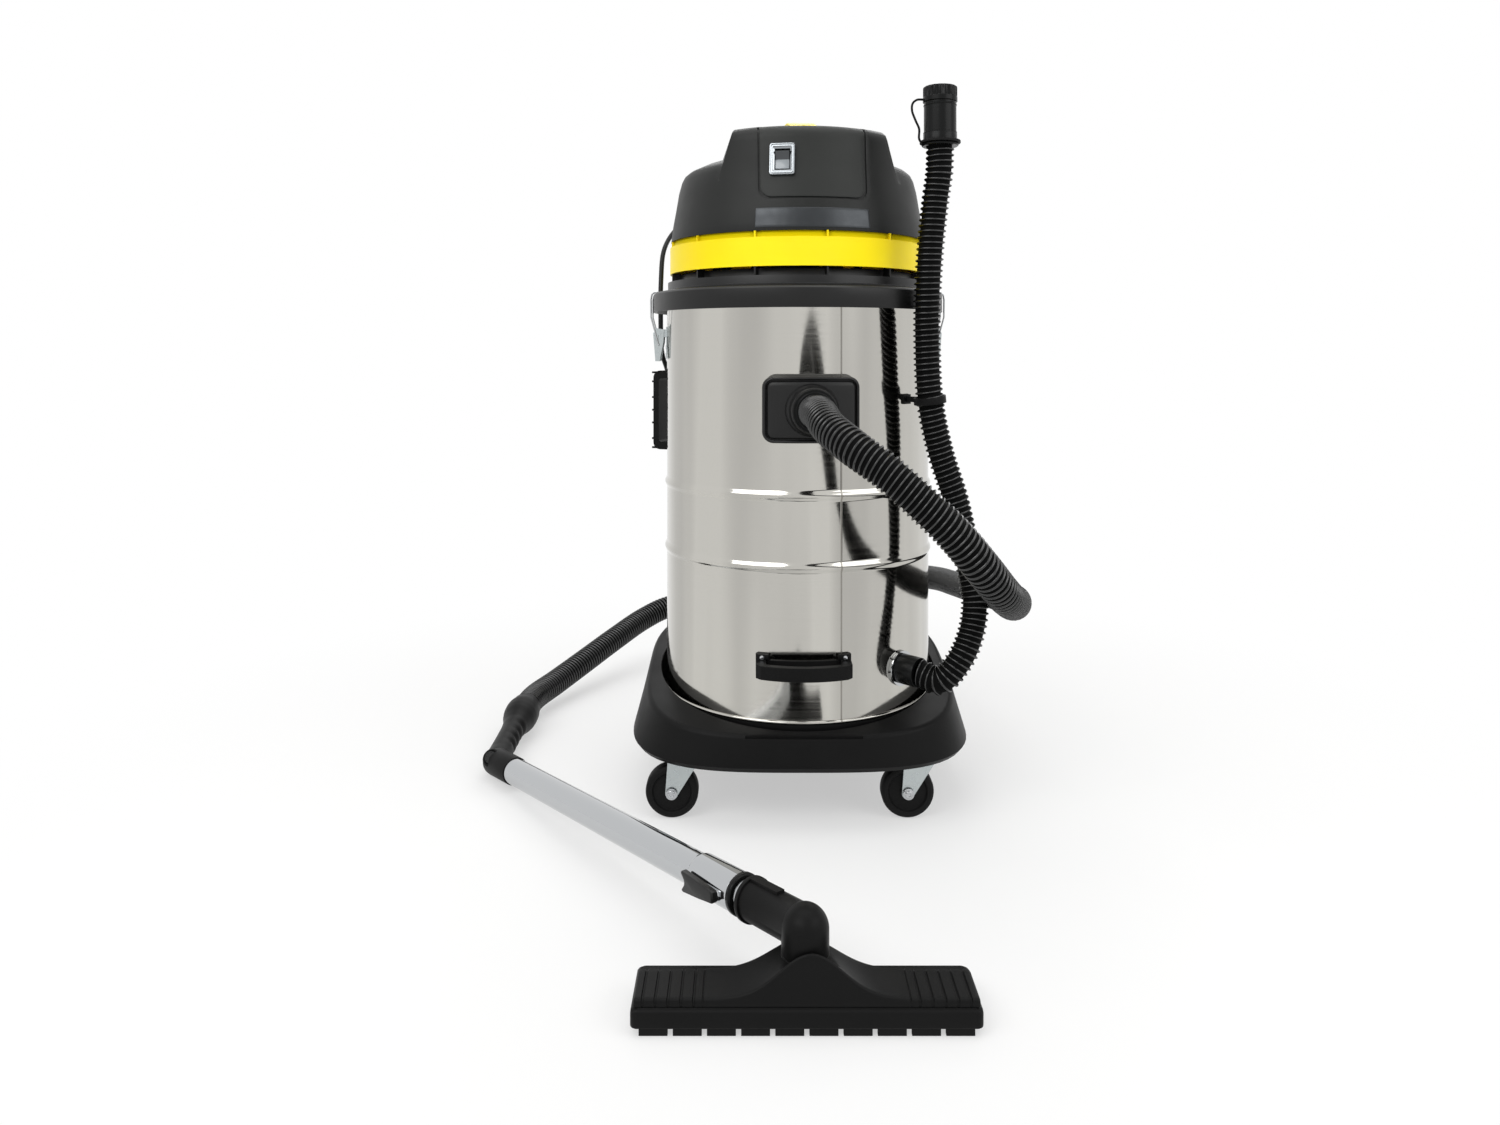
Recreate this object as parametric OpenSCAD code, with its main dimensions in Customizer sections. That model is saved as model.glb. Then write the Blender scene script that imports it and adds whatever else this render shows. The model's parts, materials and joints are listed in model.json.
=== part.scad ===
// Industrial wet-and-dry vacuum cleaner.
// The origin is on the floor under the drum's axis. The inlet side faces -Y and +Z is up.
// A turn of 0 faces -Y, and a positive turn goes towards +X.

/* [Drum] */
// Outside diameter of the steel drum
drum_d = 410; // [396:1:430]
// Height of the drum with both rims
drum_h = 597; // [560:1:660]
// Thickness of the drum sheet
drum_wall = 1.2; // [0.8:0.1:2]
// How far a stiffening bead stands out
bead_rise = 3; // [1:0.5:4]
// Height of one stiffening bead
bead_h = 18; // [12:1:24]
// Height of the lower bead above the drum's foot
bead_low = 217; // [190:1:240]
// Distance between the two beads
bead_pitch = 100; // [60:1:130]

/* [Dolly] */
// How far the tray reaches past the drum at each side
dolly_side_lip = 47; // [44:1:60]
// How far the tray reaches past the drum at front and rear
dolly_front_lip = 27; // [27:1:36]
// Height of the skirt's lower edge above the floor
skirt_z = 85; // [80:1:88]
// Height of the deck at its front edge
deck_front = 131; // [128:0.5:133]
// Rise of the deck per millimetre towards the rear
deck_slope = 0.166; // [0.1:0.002:0.18]
// Height of the pedestal that carries the drum
seat_z = 143; // [140:1:150]

/* [Casters] */
// Diameter of a wheel
wheel_d = 75; // [65:1:80]
// Width of a wheel's tread
wheel_w = 24; // [18:1:25]
// Distance from a kingpin to its axle
caster_trail = 18; // [10:1:20]
// Diameter of an axle bolt
axle_d = 8; // [6:0.5:10]
// Diameter of a kingpin
kingpin_d = 8; // [6:0.5:10]

/* [Handles] */
// Width of the handle at the drum's foot
front_handle_w = 133; // [120:1:150]
// How far the handles stand out from the drum
handle_out = 38; // [34:1:44]
// Height of a side handle
side_handle_h = 130; // [110:1:150]
// Width of a side handle
side_handle_w = 34; // [26:1:40]
// Turn of the side handles from the front
side_handle_turn = 112; // [106:1:118]

/* [Inlet] */
// Height of the inlet above the floor
inlet_z = 580; // [575:1:590]
// Turn of the inlet from the front
inlet_turn = 3; // [0:0.5:6]
// Width of the inlet plate
inlet_plate_w = 136; // [120:1:150]
// Height of the inlet plate
inlet_plate_h = 92; // [80:1:100]
// Inside diameter of the inlet collar
inlet_bore = 52; // [50:0.5:54]
// Wall of the inlet collar
collar_wall = 5.5; // [4:0.5:8]

/* [Suction hose and wand] */
// Outside diameter of the suction hose
hose_d = 46; // [40:1:46]
// Outside diameter of the wand's outer tube
wand_d = 38; // [37:0.5:39]
// Outside diameter of the wand's inner tube
wand_inner_d = 35; // [33:0.5:35.5]
// Length of the wand's outer tube before its lock collar
wand_tube_l = 496; // [470:1:520]
// Length of the lock collar
lock_l = 76; // [70:1:90]
// How far the inner tube pulls out
wand_travel = 350; // [200:10:380]
// Turn of the wand on the floor
wand_turn = -52.8; // [-54:0.2:-52]
// Rise of the wand towards the floor tool
wand_tilt = 5; // [4.6:0.1:6]

/* [Floor tool] */
// Width of the floor tool
tool_w = 342; // [320:1:370]
// Depth of the floor tool
tool_depth = 77; // [70:1:86]
// Height of the floor tool's base plate
tool_plate_h = 19; // [16:1:22]
// Number of lip segments at the front
lip_count = 10; // [6:1:11]
// Clearance of the floor tool's plate above the floor
lip_h = 8; // [6:0.5:9]

/* [Drain] */
// Outside diameter of the drain hose
drain_d = 40; // [36:1:40]
// Turn of the drain outlet from the front
drain_turn = 44; // [43.5:0.1:44.5]
// Height of the drain outlet
drain_z = 205; // [204:0.5:206]
// Outside diameter of the drain connector
connector_d = 47; // [46:0.5:50]

/* [Latches] */
// Width between the ears of a latch bracket
latch_w = 25; // [20:1:30]
// Diameter of a latch wire
wire_d = 2.6; // [2:0.1:3]
// Thickness of the latch's sheet steel
latch_t = 1.5; // [1:0.1:1.5]

/* [Head] */
// Turn of the head from the front
head_turn = 5; // [0:0.5:10]
// Thickness of the gasket under the head
gasket_t = 5; // [3:0.5:7]
// Height of the lower air slot
low_slot_h = 13; // [8:1:16]
// Height of the yellow vent band
band_h = 41; // [34:1:48]
// Height of the upper air slot
top_slot_h = 9; // [5:0.5:12]
// Number of ribs in the air slots
vent_ribs = 12; // [6:1:18]
// Wall of the cover
cover_wall = 4; // [3:0.5:5]
// Width of the front panel's recess
panel_w = 156; // [130:1:170]
// Depth of the front panel's recess
panel_recess = 2.2; // [1.8:0.1:2.6]
// Turn of the switch from the middle of the panel
switch_turn = -14; // [-16:0.5:-10]
// Width of the switch bezel
switch_w = 36.6; // [30:0.2:42]
// Height of the switch bezel
switch_h = 46.4; // [42:0.2:54]
// Width of the carry handle
carry_w = 42; // [34:1:60]
// Height of the carry handle above the cover
carry_h = 33; // [30:1:46]
// Thickness of the carry handle at its middle
carry_t = 16; // [12:1:20]

/* [Motor and filter] */
// Radius of the fan housing
fan_r = 73; // [60:1:73]
// Radius of the motor's stator
stator_r = 46; // [40:1:50]
// Diameter of the motor shaft
shaft_d = 8; // [6:0.5:10]
// Outside diameter of the filter cartridge
filter_d = 180; // [160:2:220]
// Height of the filter cartridge
filter_h = 200; // [120:5:240]
// Diameter of the float ball
float_d = 60; // [56:1:64]

/* [Mains lead] */
// Diameter of the mains lead
lead_d = 8; // [6:0.5:9]
// Inside diameter of the lead's coil
coil_bore = 58; // [50:1:58]
// Width of the coil's bundle
coil_w = 32; // [24:1:32]
// Height of the coil's bundle
coil_h = 28; // [20:1:32]

/* [Hidden] */
$fn = 64;

// Clearances: faces that lie on each other, a seated piece, a running pin and a loose fit
face_gap = 0.02;
seat_gap = 0.15;
pin_gap = 0.05;
loose_gap = 0.3;

// Drum
drum_r = drum_d / 2;
rim_z = seat_z + drum_h;
rim_out = 5;
rim_h = 8;
foot_out = 2.5;
foot_h = 5;
floor_lift = 12;

// Dolly
dolly_a = drum_r + dolly_side_lip;
dolly_b = drum_r + dolly_front_lip;
plan_power = 3.3;
plan_steps = 96;
pit_r = drum_r + 8.5;
hollow_r = pit_r + 3.5;
pit_z = seat_z - 9;
hollow_z = pit_z - 4.5;
notch_w = 162;

// Casters
axle_z = wheel_d / 2;
pad_z = 100;
plate_t = 2.5;
race_h = 4.5;
crown_t = 5.1;
crown_gap = 0.1;
crown_top = pad_z - plate_t - race_h - crown_gap;
crown_z = crown_top - crown_t;
fork_t = 2.5;
hub_gap = 0.3;
fork_in = wheel_w / 2 + 1.5;
fork_out = fork_in + fork_t;
caster_x = dolly_a - 85;
caster_y = dolly_b - 67;
caster_pad_r = 30;
caster_screw_r = 24;

// Handles and inlet
front_handle_z = seat_z + 70;
front_bar_h = 19;
side_handle_z = inlet_z - 80;
side_bar_t = 10;
foot_t = 12;
plate_rise = 9;
border_rise = 2.5;
border_w = 5;
collar_r = inlet_bore / 2 + collar_wall;
collar_end = drum_r + 45;
cuff_end = collar_end + 6;
spigot_bore = inlet_bore - 4;

// Head heights
head_z = rim_z + gasket_t;
ring_r = drum_r + 21;
ring_t = 5;
ring_low = head_z - 23;
base_z = head_z + 15;
slot_z = base_z + 8;
band_z = slot_z + low_slot_h;
band_top = band_z + band_h;
cover_z = band_top + top_slot_h;
band_r = drum_r - 5;
band_wall = 3;
rib_w = 2.5;
column_r = 7;
column_at = drum_r - 35;
column_top = cover_z + 29;
screw_r = 2.5;

// Outer line of the cover from its lower edge: [distance in from the drum, height]
skirt_line = [[6.5, 0], [9.5, 24], [14.5, 51], [18.5, 75]];
shoulder_line = [[23, 92], [27, 100], [33.6, 105.5], [54, 115], [78, 123], [99, 127]];
boss_line = [[21.5, 92], [23.5, 109], [25, 124], [26, 139], [29, 146], [37, 152], [55, 154]];
crown_h = 131;
boss_h = 154;
boss_top = cover_z + boss_h;
boss_half_low = 122;
boss_half_top = 110;
boss_side_h = 40;
boss_deep = 104;
boss_round = 14;
pocket_x = 48;
pocket_y = 62;
pocket_z = boss_top - 27;
panel_low = cover_z + 45;
panel_front = drum_r - 55;
panel_corner = 15;
panel_edge = 3;

// Switch
switch_z = cover_z + 101;
switch_r = drum_r - 21.95;
switch_lean = 7.4;
switch_proud = 4.5;
window_w = switch_w - 15.2;
window_h = switch_h - 16.4;
switch_body_w = window_w + 2.6;
switch_body_h = window_h + 4;
switch_body_deep = 25;
rocker_pivot = 5;
rocker_rest = 8;
rocker_pin_r = 1.2;

// Latches: hinge and wire pivot as [distance from the drum's axis, height]
hinge = [drum_r + 12, rim_z - 50];
wire_pivot = hinge + [1, -18];
hinge_pin_r = 2;
wire_r = wire_d / 2;
lever_in = latch_w / 2 + 0.5;
lever_out = lever_in + latch_t;
wire_half = lever_out + 1.7;
ring_top = head_z + 7;

// Motor, fan and filter
housing_h = 64;
housing_wall = 2;
housing_top = slot_z + housing_h;
fan_eye_r = 25;
bearing_r = 11;
bearing_h = 7;
bearing_low = housing_top - 2;
frame_h = 102;
frame_top = housing_top + frame_h;
bearing_high = frame_top - 12;
shaft_r = shaft_d / 2;
impeller_r = fan_r - 7;
impeller_z = slot_z + 10;
impeller_h = 22;
impeller_hub_z = impeller_z + 8;
core_r = stator_r - 19;
float_r = float_d / 2;
cage_r = float_r + 10;
cage_low = base_z - 110;
cage_drain_r = 10;
float_z = cage_low + 3 + loose_gap + sqrt(float_r * float_r - cage_drain_r * cage_drain_r);

// Drain
drain_ring_r = drain_d / 2 + 5;
drain_spigot_r = 17;
drain_cuff_r = drain_d / 2 + 1;
drain_cuff_end = drum_r + 35;
connector_r = connector_d / 2;
connector_bore_r = 17;
connector_at = [193, -185, 950];
connector_h = 61;
neck_r = connector_r - 2.5;
neck_h = 18.7;
cap_wall = 3;

// Grip and wand
elbow = [-470, -24, 22];
grip_ball = [-469, 156, 35];
hose_end = [-469, 190, 35];
arm_l = 70;
arm_r = 20.5;
elbow_r = 21;
spigot_l = 30;
wand_r = wand_d / 2;
wand_inner_r = wand_inner_d / 2;
lock_r = wand_r + 2.5;
lock_start = arm_l + wand_tube_l;
lock_end = lock_start + lock_l;
sleeve_l = 10;
sleeve_end = lock_end + sleeve_l;
neck_start = sleeve_end + 6;
neck_l = 90;
neck_end = neck_start + neck_l;
inner_held_l = 170;
inner_start = sleeve_end - inner_held_l - wand_travel;
inner_end = neck_start + 42;
neck_tube_r = wand_inner_r + 3.8;
wand_dir = [cos(wand_tilt) * cos(wand_turn), cos(wand_tilt) * sin(wand_turn), sin(wand_tilt)];
swivel = elbow + neck_end * wand_dir;
regulator_lean = 55;
regulator_turn = -105;
regulator_r = 9;
regulator_shaft_r = 4;

// Floor tool, measured from its swivel
tool_front = -tool_depth / 2 + 4;
tool_back = tool_depth / 2 + 4;
plate_top = lip_h + tool_plate_h;
pad_h = 8;
pad_grooves = 5;
pad_pitch = 12.4;
duct_top = swivel[2] - neck_tube_r - 3;
duct_r = 24.4;
duct_spigot_r = 20;
cavity_x = tool_w / 2 - 11;
cavity_y = 22;
cavity_top = lip_h + 12;
lip_pitch = 33;
lip_w = 28;
lip_t = 4;
lip_seat = 2;

// Mains lead
gland_turn = -135;
gland_z = cover_z + 64;
gland_r = drum_r - 15;
gland_end = 232;
coil_at = [0, 370];
coil_r_in = coil_bore / 2;
coil_r_out = coil_r_in + coil_w;
coil_lift = 0.3;
plug_r = 17;
lead_end_r = coil_r_out - lead_d / 2;
lead_end_l = 41;

// Routes of the free hoses and of the lead
hose_route = [[13, -256, 580], [16, -310, 580], [24, -360, 566], [50, -400, 545],
    [90, -422, 516], [130, -432, 480], [167, -434, 444], [200, -424, 405],
    [226, -398, 374], [252, -345, 348], [274, -275, 330], [290, -195, 314],
    [302, -110, 297], [312, 0, 277], [318, 110, 256], [318, 220, 238],
    [312, 320, 224], [296, 420, 212], [262, 510, 198], [205, 580, 182],
    [130, 630, 165], [45, 655, 150], [-45, 660, 138], [-130, 645, 127],
    [-205, 615, 118], [-256, 590, 112], [-300, 550, 98], [-350, 470, 78],
    [-400, 385, 56], [-440, 310, 40], [-464, 245, 35], hose_end];
drain_route = [[167, -173, 205], [192, -190, 200], [220, -190, 229], [238, -180, 265],
    [245, -170, 308], [237, -160, 363], [219, -160, 449], [197, -160, 520],
    [182, -165, 592], [177, -170, 692], [177, -175, 737], [180, -180, 804],
    [187, -183, 875], [192, -185, 915], connector_at];
clip_point = 8;
lead_route = [[-164, 164, 894], [-180, 175, 890], [-196, 172, 880], [-210, 150, 862],
    [-221, 118, 830], [-223, 92, 780], [-223, 85, 720], [-222, 100, 660],
    [-214, 125, 625], [-195, 170, 500], [-170, 235, 300], [-152, 278, 150],
    [-143, 297, 80], [-139, 301, 45], [-128, 305, 20], [-111, 309, 8],
    [-93, 312, 4.3], [-62, 313, 4.3], [-30.8, 313, 4.3]];

black = "#2e2f2d";
soft_black = "#1d1e1d";
yellow = "#ffe410";
steel = "#c9cdd0";
zinc = "#bfc8c8";

// ---- Shared shapes and functions ----

// Points of a circular arc about a centre
function arc(c, r, a0, a1, n = 6) =
    [for (i = [0 : n]) c + r * [cos(a0 + (a1 - a0) * i / n), sin(a0 + (a1 - a0) * i / n)]];

// Outline of a rectangle with round corners
function round_rect(w, h, r) = concat(
    arc([w / 2 - r, h / 2 - r], r, 0, 90),
    arc([r - w / 2, h / 2 - r], r, 90, 180),
    arc([r - w / 2, r - h / 2], r, 180, 270),
    arc([w / 2 - r, r - h / 2], r, 270, 360));

function unit(v) = v / norm(v);

// Direction of a route at one of its points
function heading(p, i, start, end) =
    i == 0 ? unit(start) : i == len(p) - 1 ? unit(end) : unit(p[i + 1] - p[i - 1]);

// Side vectors carried along a route without twist
function carried(p, start, end, side, i = 0) =
    i == len(p) ? [] :
    let (t = heading(p, i, start, end), u = unit(side - (side * t) * t))
    concat([[u, cross(t, u)]], carried(p, start, end, u, i + 1));

function quad(a, b, c, d) = [[a, d, c], [a, c, b]];

// Closed solid through rings of points, one after the other
module loft(rings) {
    n = len(rings[0]);
    m = len(rings);
    polyhedron(
        points = [for (r = rings) each r],
        faces = concat(
            [[for (k = [0 : n - 1]) k]],
            [for (i = [0 : m - 2]) for (k = [0 : n - 1])
                each quad(i * n + k, i * n + (k + 1) % n,
                    (i + 1) * n + (k + 1) % n, (i + 1) * n + k)],
            [[for (k = [n - 1 : -1 : 0]) (m - 1) * n + k]]));
}

// Round tube swept along a route
module swept(p, r, start, end, sides) {
    frames = carried(p, start, end, [0.1, 0.2, 1]);
    loft([for (i = [0 : len(p) - 1])
        [for (k = [0 : sides - 1])
            p[i] + r * (cos(360 * k / sides) * frames[i][0] + sin(360 * k / sides) * frames[i][1])]]);
}

// Upright ring between two heights
module ring(r_out, r_in, z0, z1) {
    difference() {
        translate([0, 0, z0]) cylinder(r = r_out, h = z1 - z0);
        translate([0, 0, z0 - 1]) cylinder(r = r_in, h = z1 - z0 + 2);
    }
}

// Upright disc between two heights
module disc(r, z0, z1) {
    translate([0, 0, z0]) cylinder(r = r, h = z1 - z0);
}

// Round bar from one point to another
module rod(a, b, r) {
    d = b - a;
    translate(a) rotate([0, acos(d[2] / norm(d)), atan2(d[1], d[0])]) cylinder(r = r, h = norm(d));
}

// Outline in depth and height, made solid across X
module bar_x(w) {
    translate([-w / 2, 0, 0]) rotate([90, 0, 90]) linear_extrude(w) children();
}

// Outline in X and height, made solid towards -Y
module outward(h) {
    rotate([90, 0, 0]) linear_extrude(h) children();
}

// Turns a piece that faces -Y round the drum's axis and lifts it
module on_drum(turn, z = 0) {
    rotate([0, 0, turn]) translate([0, 0, z]) children();
}

// Round bar that points away from the drum's axis
module spoke(r, from, to) {
    rotate([90, 0, 0]) translate([0, 0, from]) cylinder(r = r, h = to - from);
}

// ---- Dolly and casters ----

function plan_r(a, b, power, f) =
    pow(pow(abs(cos(f)) / a, power) + pow(abs(sin(f)) / b, power), -1 / power);

function deck_z(y) = deck_front + (y + dolly_b) * deck_slope;

// Ring of the tray, level at a height or held to the sloping deck
function tray_ring(a, b, power, z, sloped) =
    [for (k = [0 : plan_steps - 1])
        let (f = 360 * k / plan_steps, r = plan_r(a, b, power, f), y = r * sin(f))
        [r * cos(f), y, sloped ? deck_z(y) + z : z]];

function round_ring(r, z, sloped) = tray_ring(r, r, 2, z, sloped);
function wide_ring(inset_a, inset_b, z, sloped) =
    tray_ring(dolly_a - inset_a, dolly_b - inset_b, plan_power, z, sloped);

module tray_shell() {
    loft([
        round_ring(hollow_r, hollow_z, false),
        round_ring(hollow_r, -5, true),
        wide_ring(26, 13.8, -6, true),
        wide_ring(7, 6, skirt_z + 11, false),
        wide_ring(9.5, 9.5, skirt_z, false),
        wide_ring(5, 5, skirt_z, false),
        wide_ring(0, 0, skirt_z + 7, false),
        wide_ring(19, 7.5, -4, true),
        wide_ring(22.5, 9.7, 0, true),
        wide_ring(27, 13.5, 1.5, true),
        round_ring(pit_r + 0.8, 3, true),
        round_ring(pit_r, 2, true),
        round_ring(pit_r, pit_z, false),
        round_ring(drum_r + 3, pit_z, false),
        round_ring(drum_r + 3, seat_z, false)]);
}

// Crossed ribs that carry one caster pad, up to a height
module tower_ribs(y, flat_top) {
    rib = 4;
    reach = caster_pad_r - 2;
    low = pad_z + 3;
    embed = 3;
    top_near = flat_top ? hollow_z + 1.5 : deck_z(y - reach) - embed;
    top_far = flat_top ? hollow_z + 1.5 : deck_z(y + reach) - embed;
    top_mid = flat_top ? hollow_z + 1.5 : deck_z(y) - embed;
    bar_x(rib) polygon([[-reach, low], [reach, low], [reach, top_far], [-reach, top_near]]);
    translate([-reach, -rib / 2, low]) cube([2 * reach, rib, top_mid - low]);
}

module caster_tower(x, y) {
    translate([x, y, pad_z]) cylinder(r = caster_pad_r, h = 6);
    translate([x, y, 0]) tower_ribs(y, true);
    difference() {
        translate([x, y, 0]) tower_ribs(y, false);
        disc(hollow_r - 1.8, pad_z, rim_z);
    }
}

module dolly() {
    color(black) difference() {
        union() {
            tray_shell();
            for (x = [-caster_x, caster_x], y = [-caster_y, caster_y]) caster_tower(x, y);
        }
        translate([-notch_w / 2, -dolly_b - 1, deck_front - 1.5]) cube([notch_w, 13.5, 20]);
    }
}

module caster_plates() {
    color(zinc) for (x = [-caster_x, caster_x], y = [-caster_y, caster_y]) translate([x, y, 0]) {
        disc(28, pad_z - plate_t, pad_z);
        disc(20, pad_z - plate_t - race_h, pad_z - plate_t);
        disc(kingpin_d / 2, crown_z - crown_gap, crown_top + crown_gap);
        disc(kingpin_d / 2 + 3, crown_z - crown_gap - 3.7, crown_z - crown_gap);
    }
}

function fork_side() = concat(
    [[23, crown_top], [-23, crown_top]],
    arc([-caster_trail, axle_z], 9, 180, 345, 10),
    [[23, crown_z - 2]]);

module caster_fork(x, y) {
    color(zinc) translate([x, y, 0]) {
        difference() {
            translate([-23, -fork_out, crown_z]) cube([46, 2 * fork_out, crown_t]);
            disc(kingpin_d / 2 + pin_gap, crown_z - 1, crown_top + 1);
        }
        for (side = [-1, 1]) translate([0, side * (fork_in + fork_t / 2) + fork_t / 2, 0])
            outward(fork_t) polygon(fork_side());
        translate([-caster_trail, 0, axle_z]) rotate([90, 0, 0]) {
            cylinder(r = axle_d / 2, h = 2 * fork_out, center = true);
            for (side = [-1, 1]) translate([0, 0, side * (fork_out + 1.5)])
                cylinder(r = axle_d / 2 + 3, h = 3, center = true, $fn = 6);
        }
    }
}

module caster_wheel(x, y) {
    bore = axle_d / 2 + pin_gap;
    hub = fork_in - hub_gap;
    half = wheel_w / 2;
    r = wheel_d / 2;
    color(soft_black) translate([x - caster_trail, y, axle_z]) rotate([90, 0, 0]) rotate_extrude()
        polygon([[bore, -hub], [bore + 7, -hub], [bore + 7, 2 - half], [r - 11.5, 4 - half],
            [r - 9.5, -half], [r - 5, -half], [r - 1.5, 1.5 - half], [r, 5 - half],
            [r, half - 5], [r - 1.5, half - 1.5], [r - 5, half], [r - 9.5, half],
            [r - 11.5, half - 4], [bore + 7, half - 2], [bore + 7, hub], [bore, hub]]);
}

// ---- Drum ----

// Outer line of one bead, as a cosine bump
function bead_points(r, z) =
    [for (i = [0 : 12]) [r + bead_rise * (1 - cos(30 * i)) / 2, z - bead_h / 2 + bead_h * i / 12]];

// Line of the drum's side at a radius, from its foot to its rim
function side_line(r) = concat(
    [[r, seat_z + 1]],
    bead_points(r, seat_z + bead_low),
    bead_points(r, seat_z + bead_low + bead_pitch),
    [[r, rim_z - 1]]);

function reversed(p) = [for (i = [len(p) - 1 : -1 : 0]) p[i]];

module drum() {
    inner = drum_r - drum_wall;
    color(steel) difference() {
        union() {
            rotate_extrude() polygon(concat(side_line(drum_r), reversed(side_line(inner))));
            disc(drum_r - drum_wall / 2, seat_z + floor_lift, seat_z + floor_lift + drum_wall);
            rotate_extrude() polygon([[inner, seat_z], [drum_r + 1.5, seat_z],
                [drum_r + foot_out, seat_z + 1], [drum_r + foot_out, seat_z + foot_h - 1],
                [drum_r + 1.5, seat_z + foot_h], [inner, seat_z + foot_h]]);
            rotate_extrude() polygon([[inner, rim_z - rim_h], [drum_r + rim_out - 2, rim_z - rim_h],
                [drum_r + rim_out, rim_z - rim_h + 2], [drum_r + rim_out, rim_z - 2],
                [drum_r + rim_out - 2, rim_z], [inner, rim_z]]);
        }
        on_drum(inlet_turn, inlet_z) spoke(inlet_bore / 2 + 2 + loose_gap, drum_r - 30, drum_r + 30);
        on_drum(drain_turn, drain_z) spoke(drain_spigot_r + 3 + loose_gap, drum_r - 30, drum_r + 30);
    }
}

module front_handle() {
    half = front_handle_w / 2;
    skin = drum_r + seat_gap;
    bow_r = 150;
    bow_y = bow_r - drum_r - handle_out;
    grip_t = 11;
    slot_half = half - 14.5;
    bow_turn = asin((half - 6.5) / bow_r);
    slot_turn = asin(slot_half / (bow_r - grip_t));
    back_r = drum_r + 3;
    back_turn = asin(slot_half / back_r);
    end_y = bow_y - bow_r * cos(bow_turn);
    color(black) difference() {
        union() {
            translate([0, 0, front_handle_z]) linear_extrude(front_bar_h)
                polygon(concat(arc([0, bow_y], bow_r, -90 - bow_turn, -90 + bow_turn, 14),
                    [[half, end_y + 8], [half, -drum_r + 15], [-half, -drum_r + 15], [-half, end_y + 8]]));
            intersection() {
                ring(drum_r + 7, skin, front_handle_z, front_handle_z + 27);
                for (side = [-1, 1]) translate([side * (half - 9) - 9, -drum_r - 20, 0])
                    cube([18, drum_r, rim_z]);
            }
        }
        disc(skin, 0, rim_z);
        translate([0, 0, front_handle_z - 1]) linear_extrude(front_bar_h + 2)
            polygon(concat(
                arc([0, bow_y], bow_r - grip_t, -90 - slot_turn, -90 + slot_turn, 14),
                arc([0, 0], back_r, -90 + back_turn, -90 - back_turn, 10)));
    }
}

module side_handle(turn) {
    out = drum_r + handle_out + 3;
    top = side_handle_h;
    color(black) on_drum(turn, side_handle_z) difference() {
        union() {
            bar_x(side_handle_w) polygon(concat(
                [[-drum_r + 12, 0]],
                arc([12 - out, 12], 12, 270, 180),
                arc([12 - out, top - 12], 12, 180, 90),
                [[-drum_r + 12, top]]));
            for (z = [3, 18, top / 2 - 21, top / 2, top / 2 + 21, top - 18, top - 3])
                translate([-side_handle_w / 2 - 1, -out - 2, z - 1.5]) cube([side_handle_w + 2, side_bar_t + 2, 3]);
        }
        bar_x(side_handle_w + 10) polygon(concat(
            [[0, foot_t]],
            arc([6 + side_bar_t - out, foot_t + 6], 6, 270, 180),
            arc([6 + side_bar_t - out, top - foot_t - 6], 6, 180, 90),
            [[0, top - foot_t]]));
        disc(drum_r + seat_gap, -10, top + 10);
    }
}

module side_handle_left() {
    side_handle(-side_handle_turn);
}

module side_handle_right() {
    side_handle(side_handle_turn);
}

module fasteners() {
    color(zinc) {
        for (x = [-caster_x, caster_x], y = [-caster_y, caster_y], k = [0 : 3])
            translate([x, y, 0]) rotate([0, 0, 45 + 90 * k]) translate([caster_screw_r, 0, 0])
                disc(3, pad_z - plate_t - 2, pad_z - plate_t - face_gap);
        for (side = [-1, 1])
            on_drum(side * asin((front_handle_w / 2 - 9) / (drum_r + 7)), front_handle_z + front_bar_h + 4)
                spoke(3, drum_r + 7, drum_r + 9);
        for (turn = [-90, 90], z = [-34, -22]) on_drum(turn, hinge[1] + z)
            spoke(3, drum_r + seat_gap + latch_t, drum_r + seat_gap + latch_t + 1);
    }
}

// ---- Inlet, hose and grip ----

module inlet_plate() {
    skin = drum_r + seat_gap;
    face = drum_r + plate_rise;
    color(black) on_drum(inlet_turn, inlet_z) difference() {
        union() {
            intersection() {
                ring(face, skin, -inlet_plate_h, inlet_plate_h);
                outward(drum_r + 60) polygon(round_rect(inlet_plate_w, inlet_plate_h, 15));
            }
            intersection() {
                ring(face + border_rise, face - 1, -inlet_plate_h, inlet_plate_h);
                difference() {
                    outward(drum_r + 60) polygon(round_rect(inlet_plate_w, inlet_plate_h, 15));
                    outward(drum_r + 61)
                        polygon(round_rect(inlet_plate_w - 2 * border_w, inlet_plate_h - 2 * border_w, 10));
                }
            }
            spoke(collar_r, drum_r, collar_end);
            spoke(collar_r + 3, drum_r, face + 6);
            spoke(inlet_bore / 2 + 2, drum_r - 15, drum_r + 1);
        }
        spoke(spigot_bore / 2, drum_r - 20, drum_r + 10);
        spoke(inlet_bore / 2, drum_r + 7, collar_end + 10);
        difference() {
            disc(skin, -inlet_plate_h, inlet_plate_h);
            disc(drum_r - 20, -inlet_plate_h - 1, inlet_plate_h + 1);
            spoke(inlet_bore / 2 + 2, drum_r - 15, drum_r + 10);
        }
    }
}

module hose_cuff() {
    color(soft_black) on_drum(inlet_turn, inlet_z) difference() {
        union() {
            spoke(inlet_bore / 2 - pin_gap, drum_r + 8, cuff_end);
            spoke(hose_d / 2 + 7, collar_end, cuff_end - 2);
        }
        spoke(hose_d / 2 - 3, drum_r, cuff_end + 1);
    }
}

module suction_hose() {
    facing = [sin(inlet_turn), -cos(inlet_turn), 0];
    color(black) swept(hose_route, hose_d / 2, facing, [0, -1, 0], 12);
}

// Places a piece along the wand, with local X from the elbow towards the floor tool
module on_wand() {
    translate(elbow) rotate([0, -wand_tilt, wand_turn]) children();
}

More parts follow.
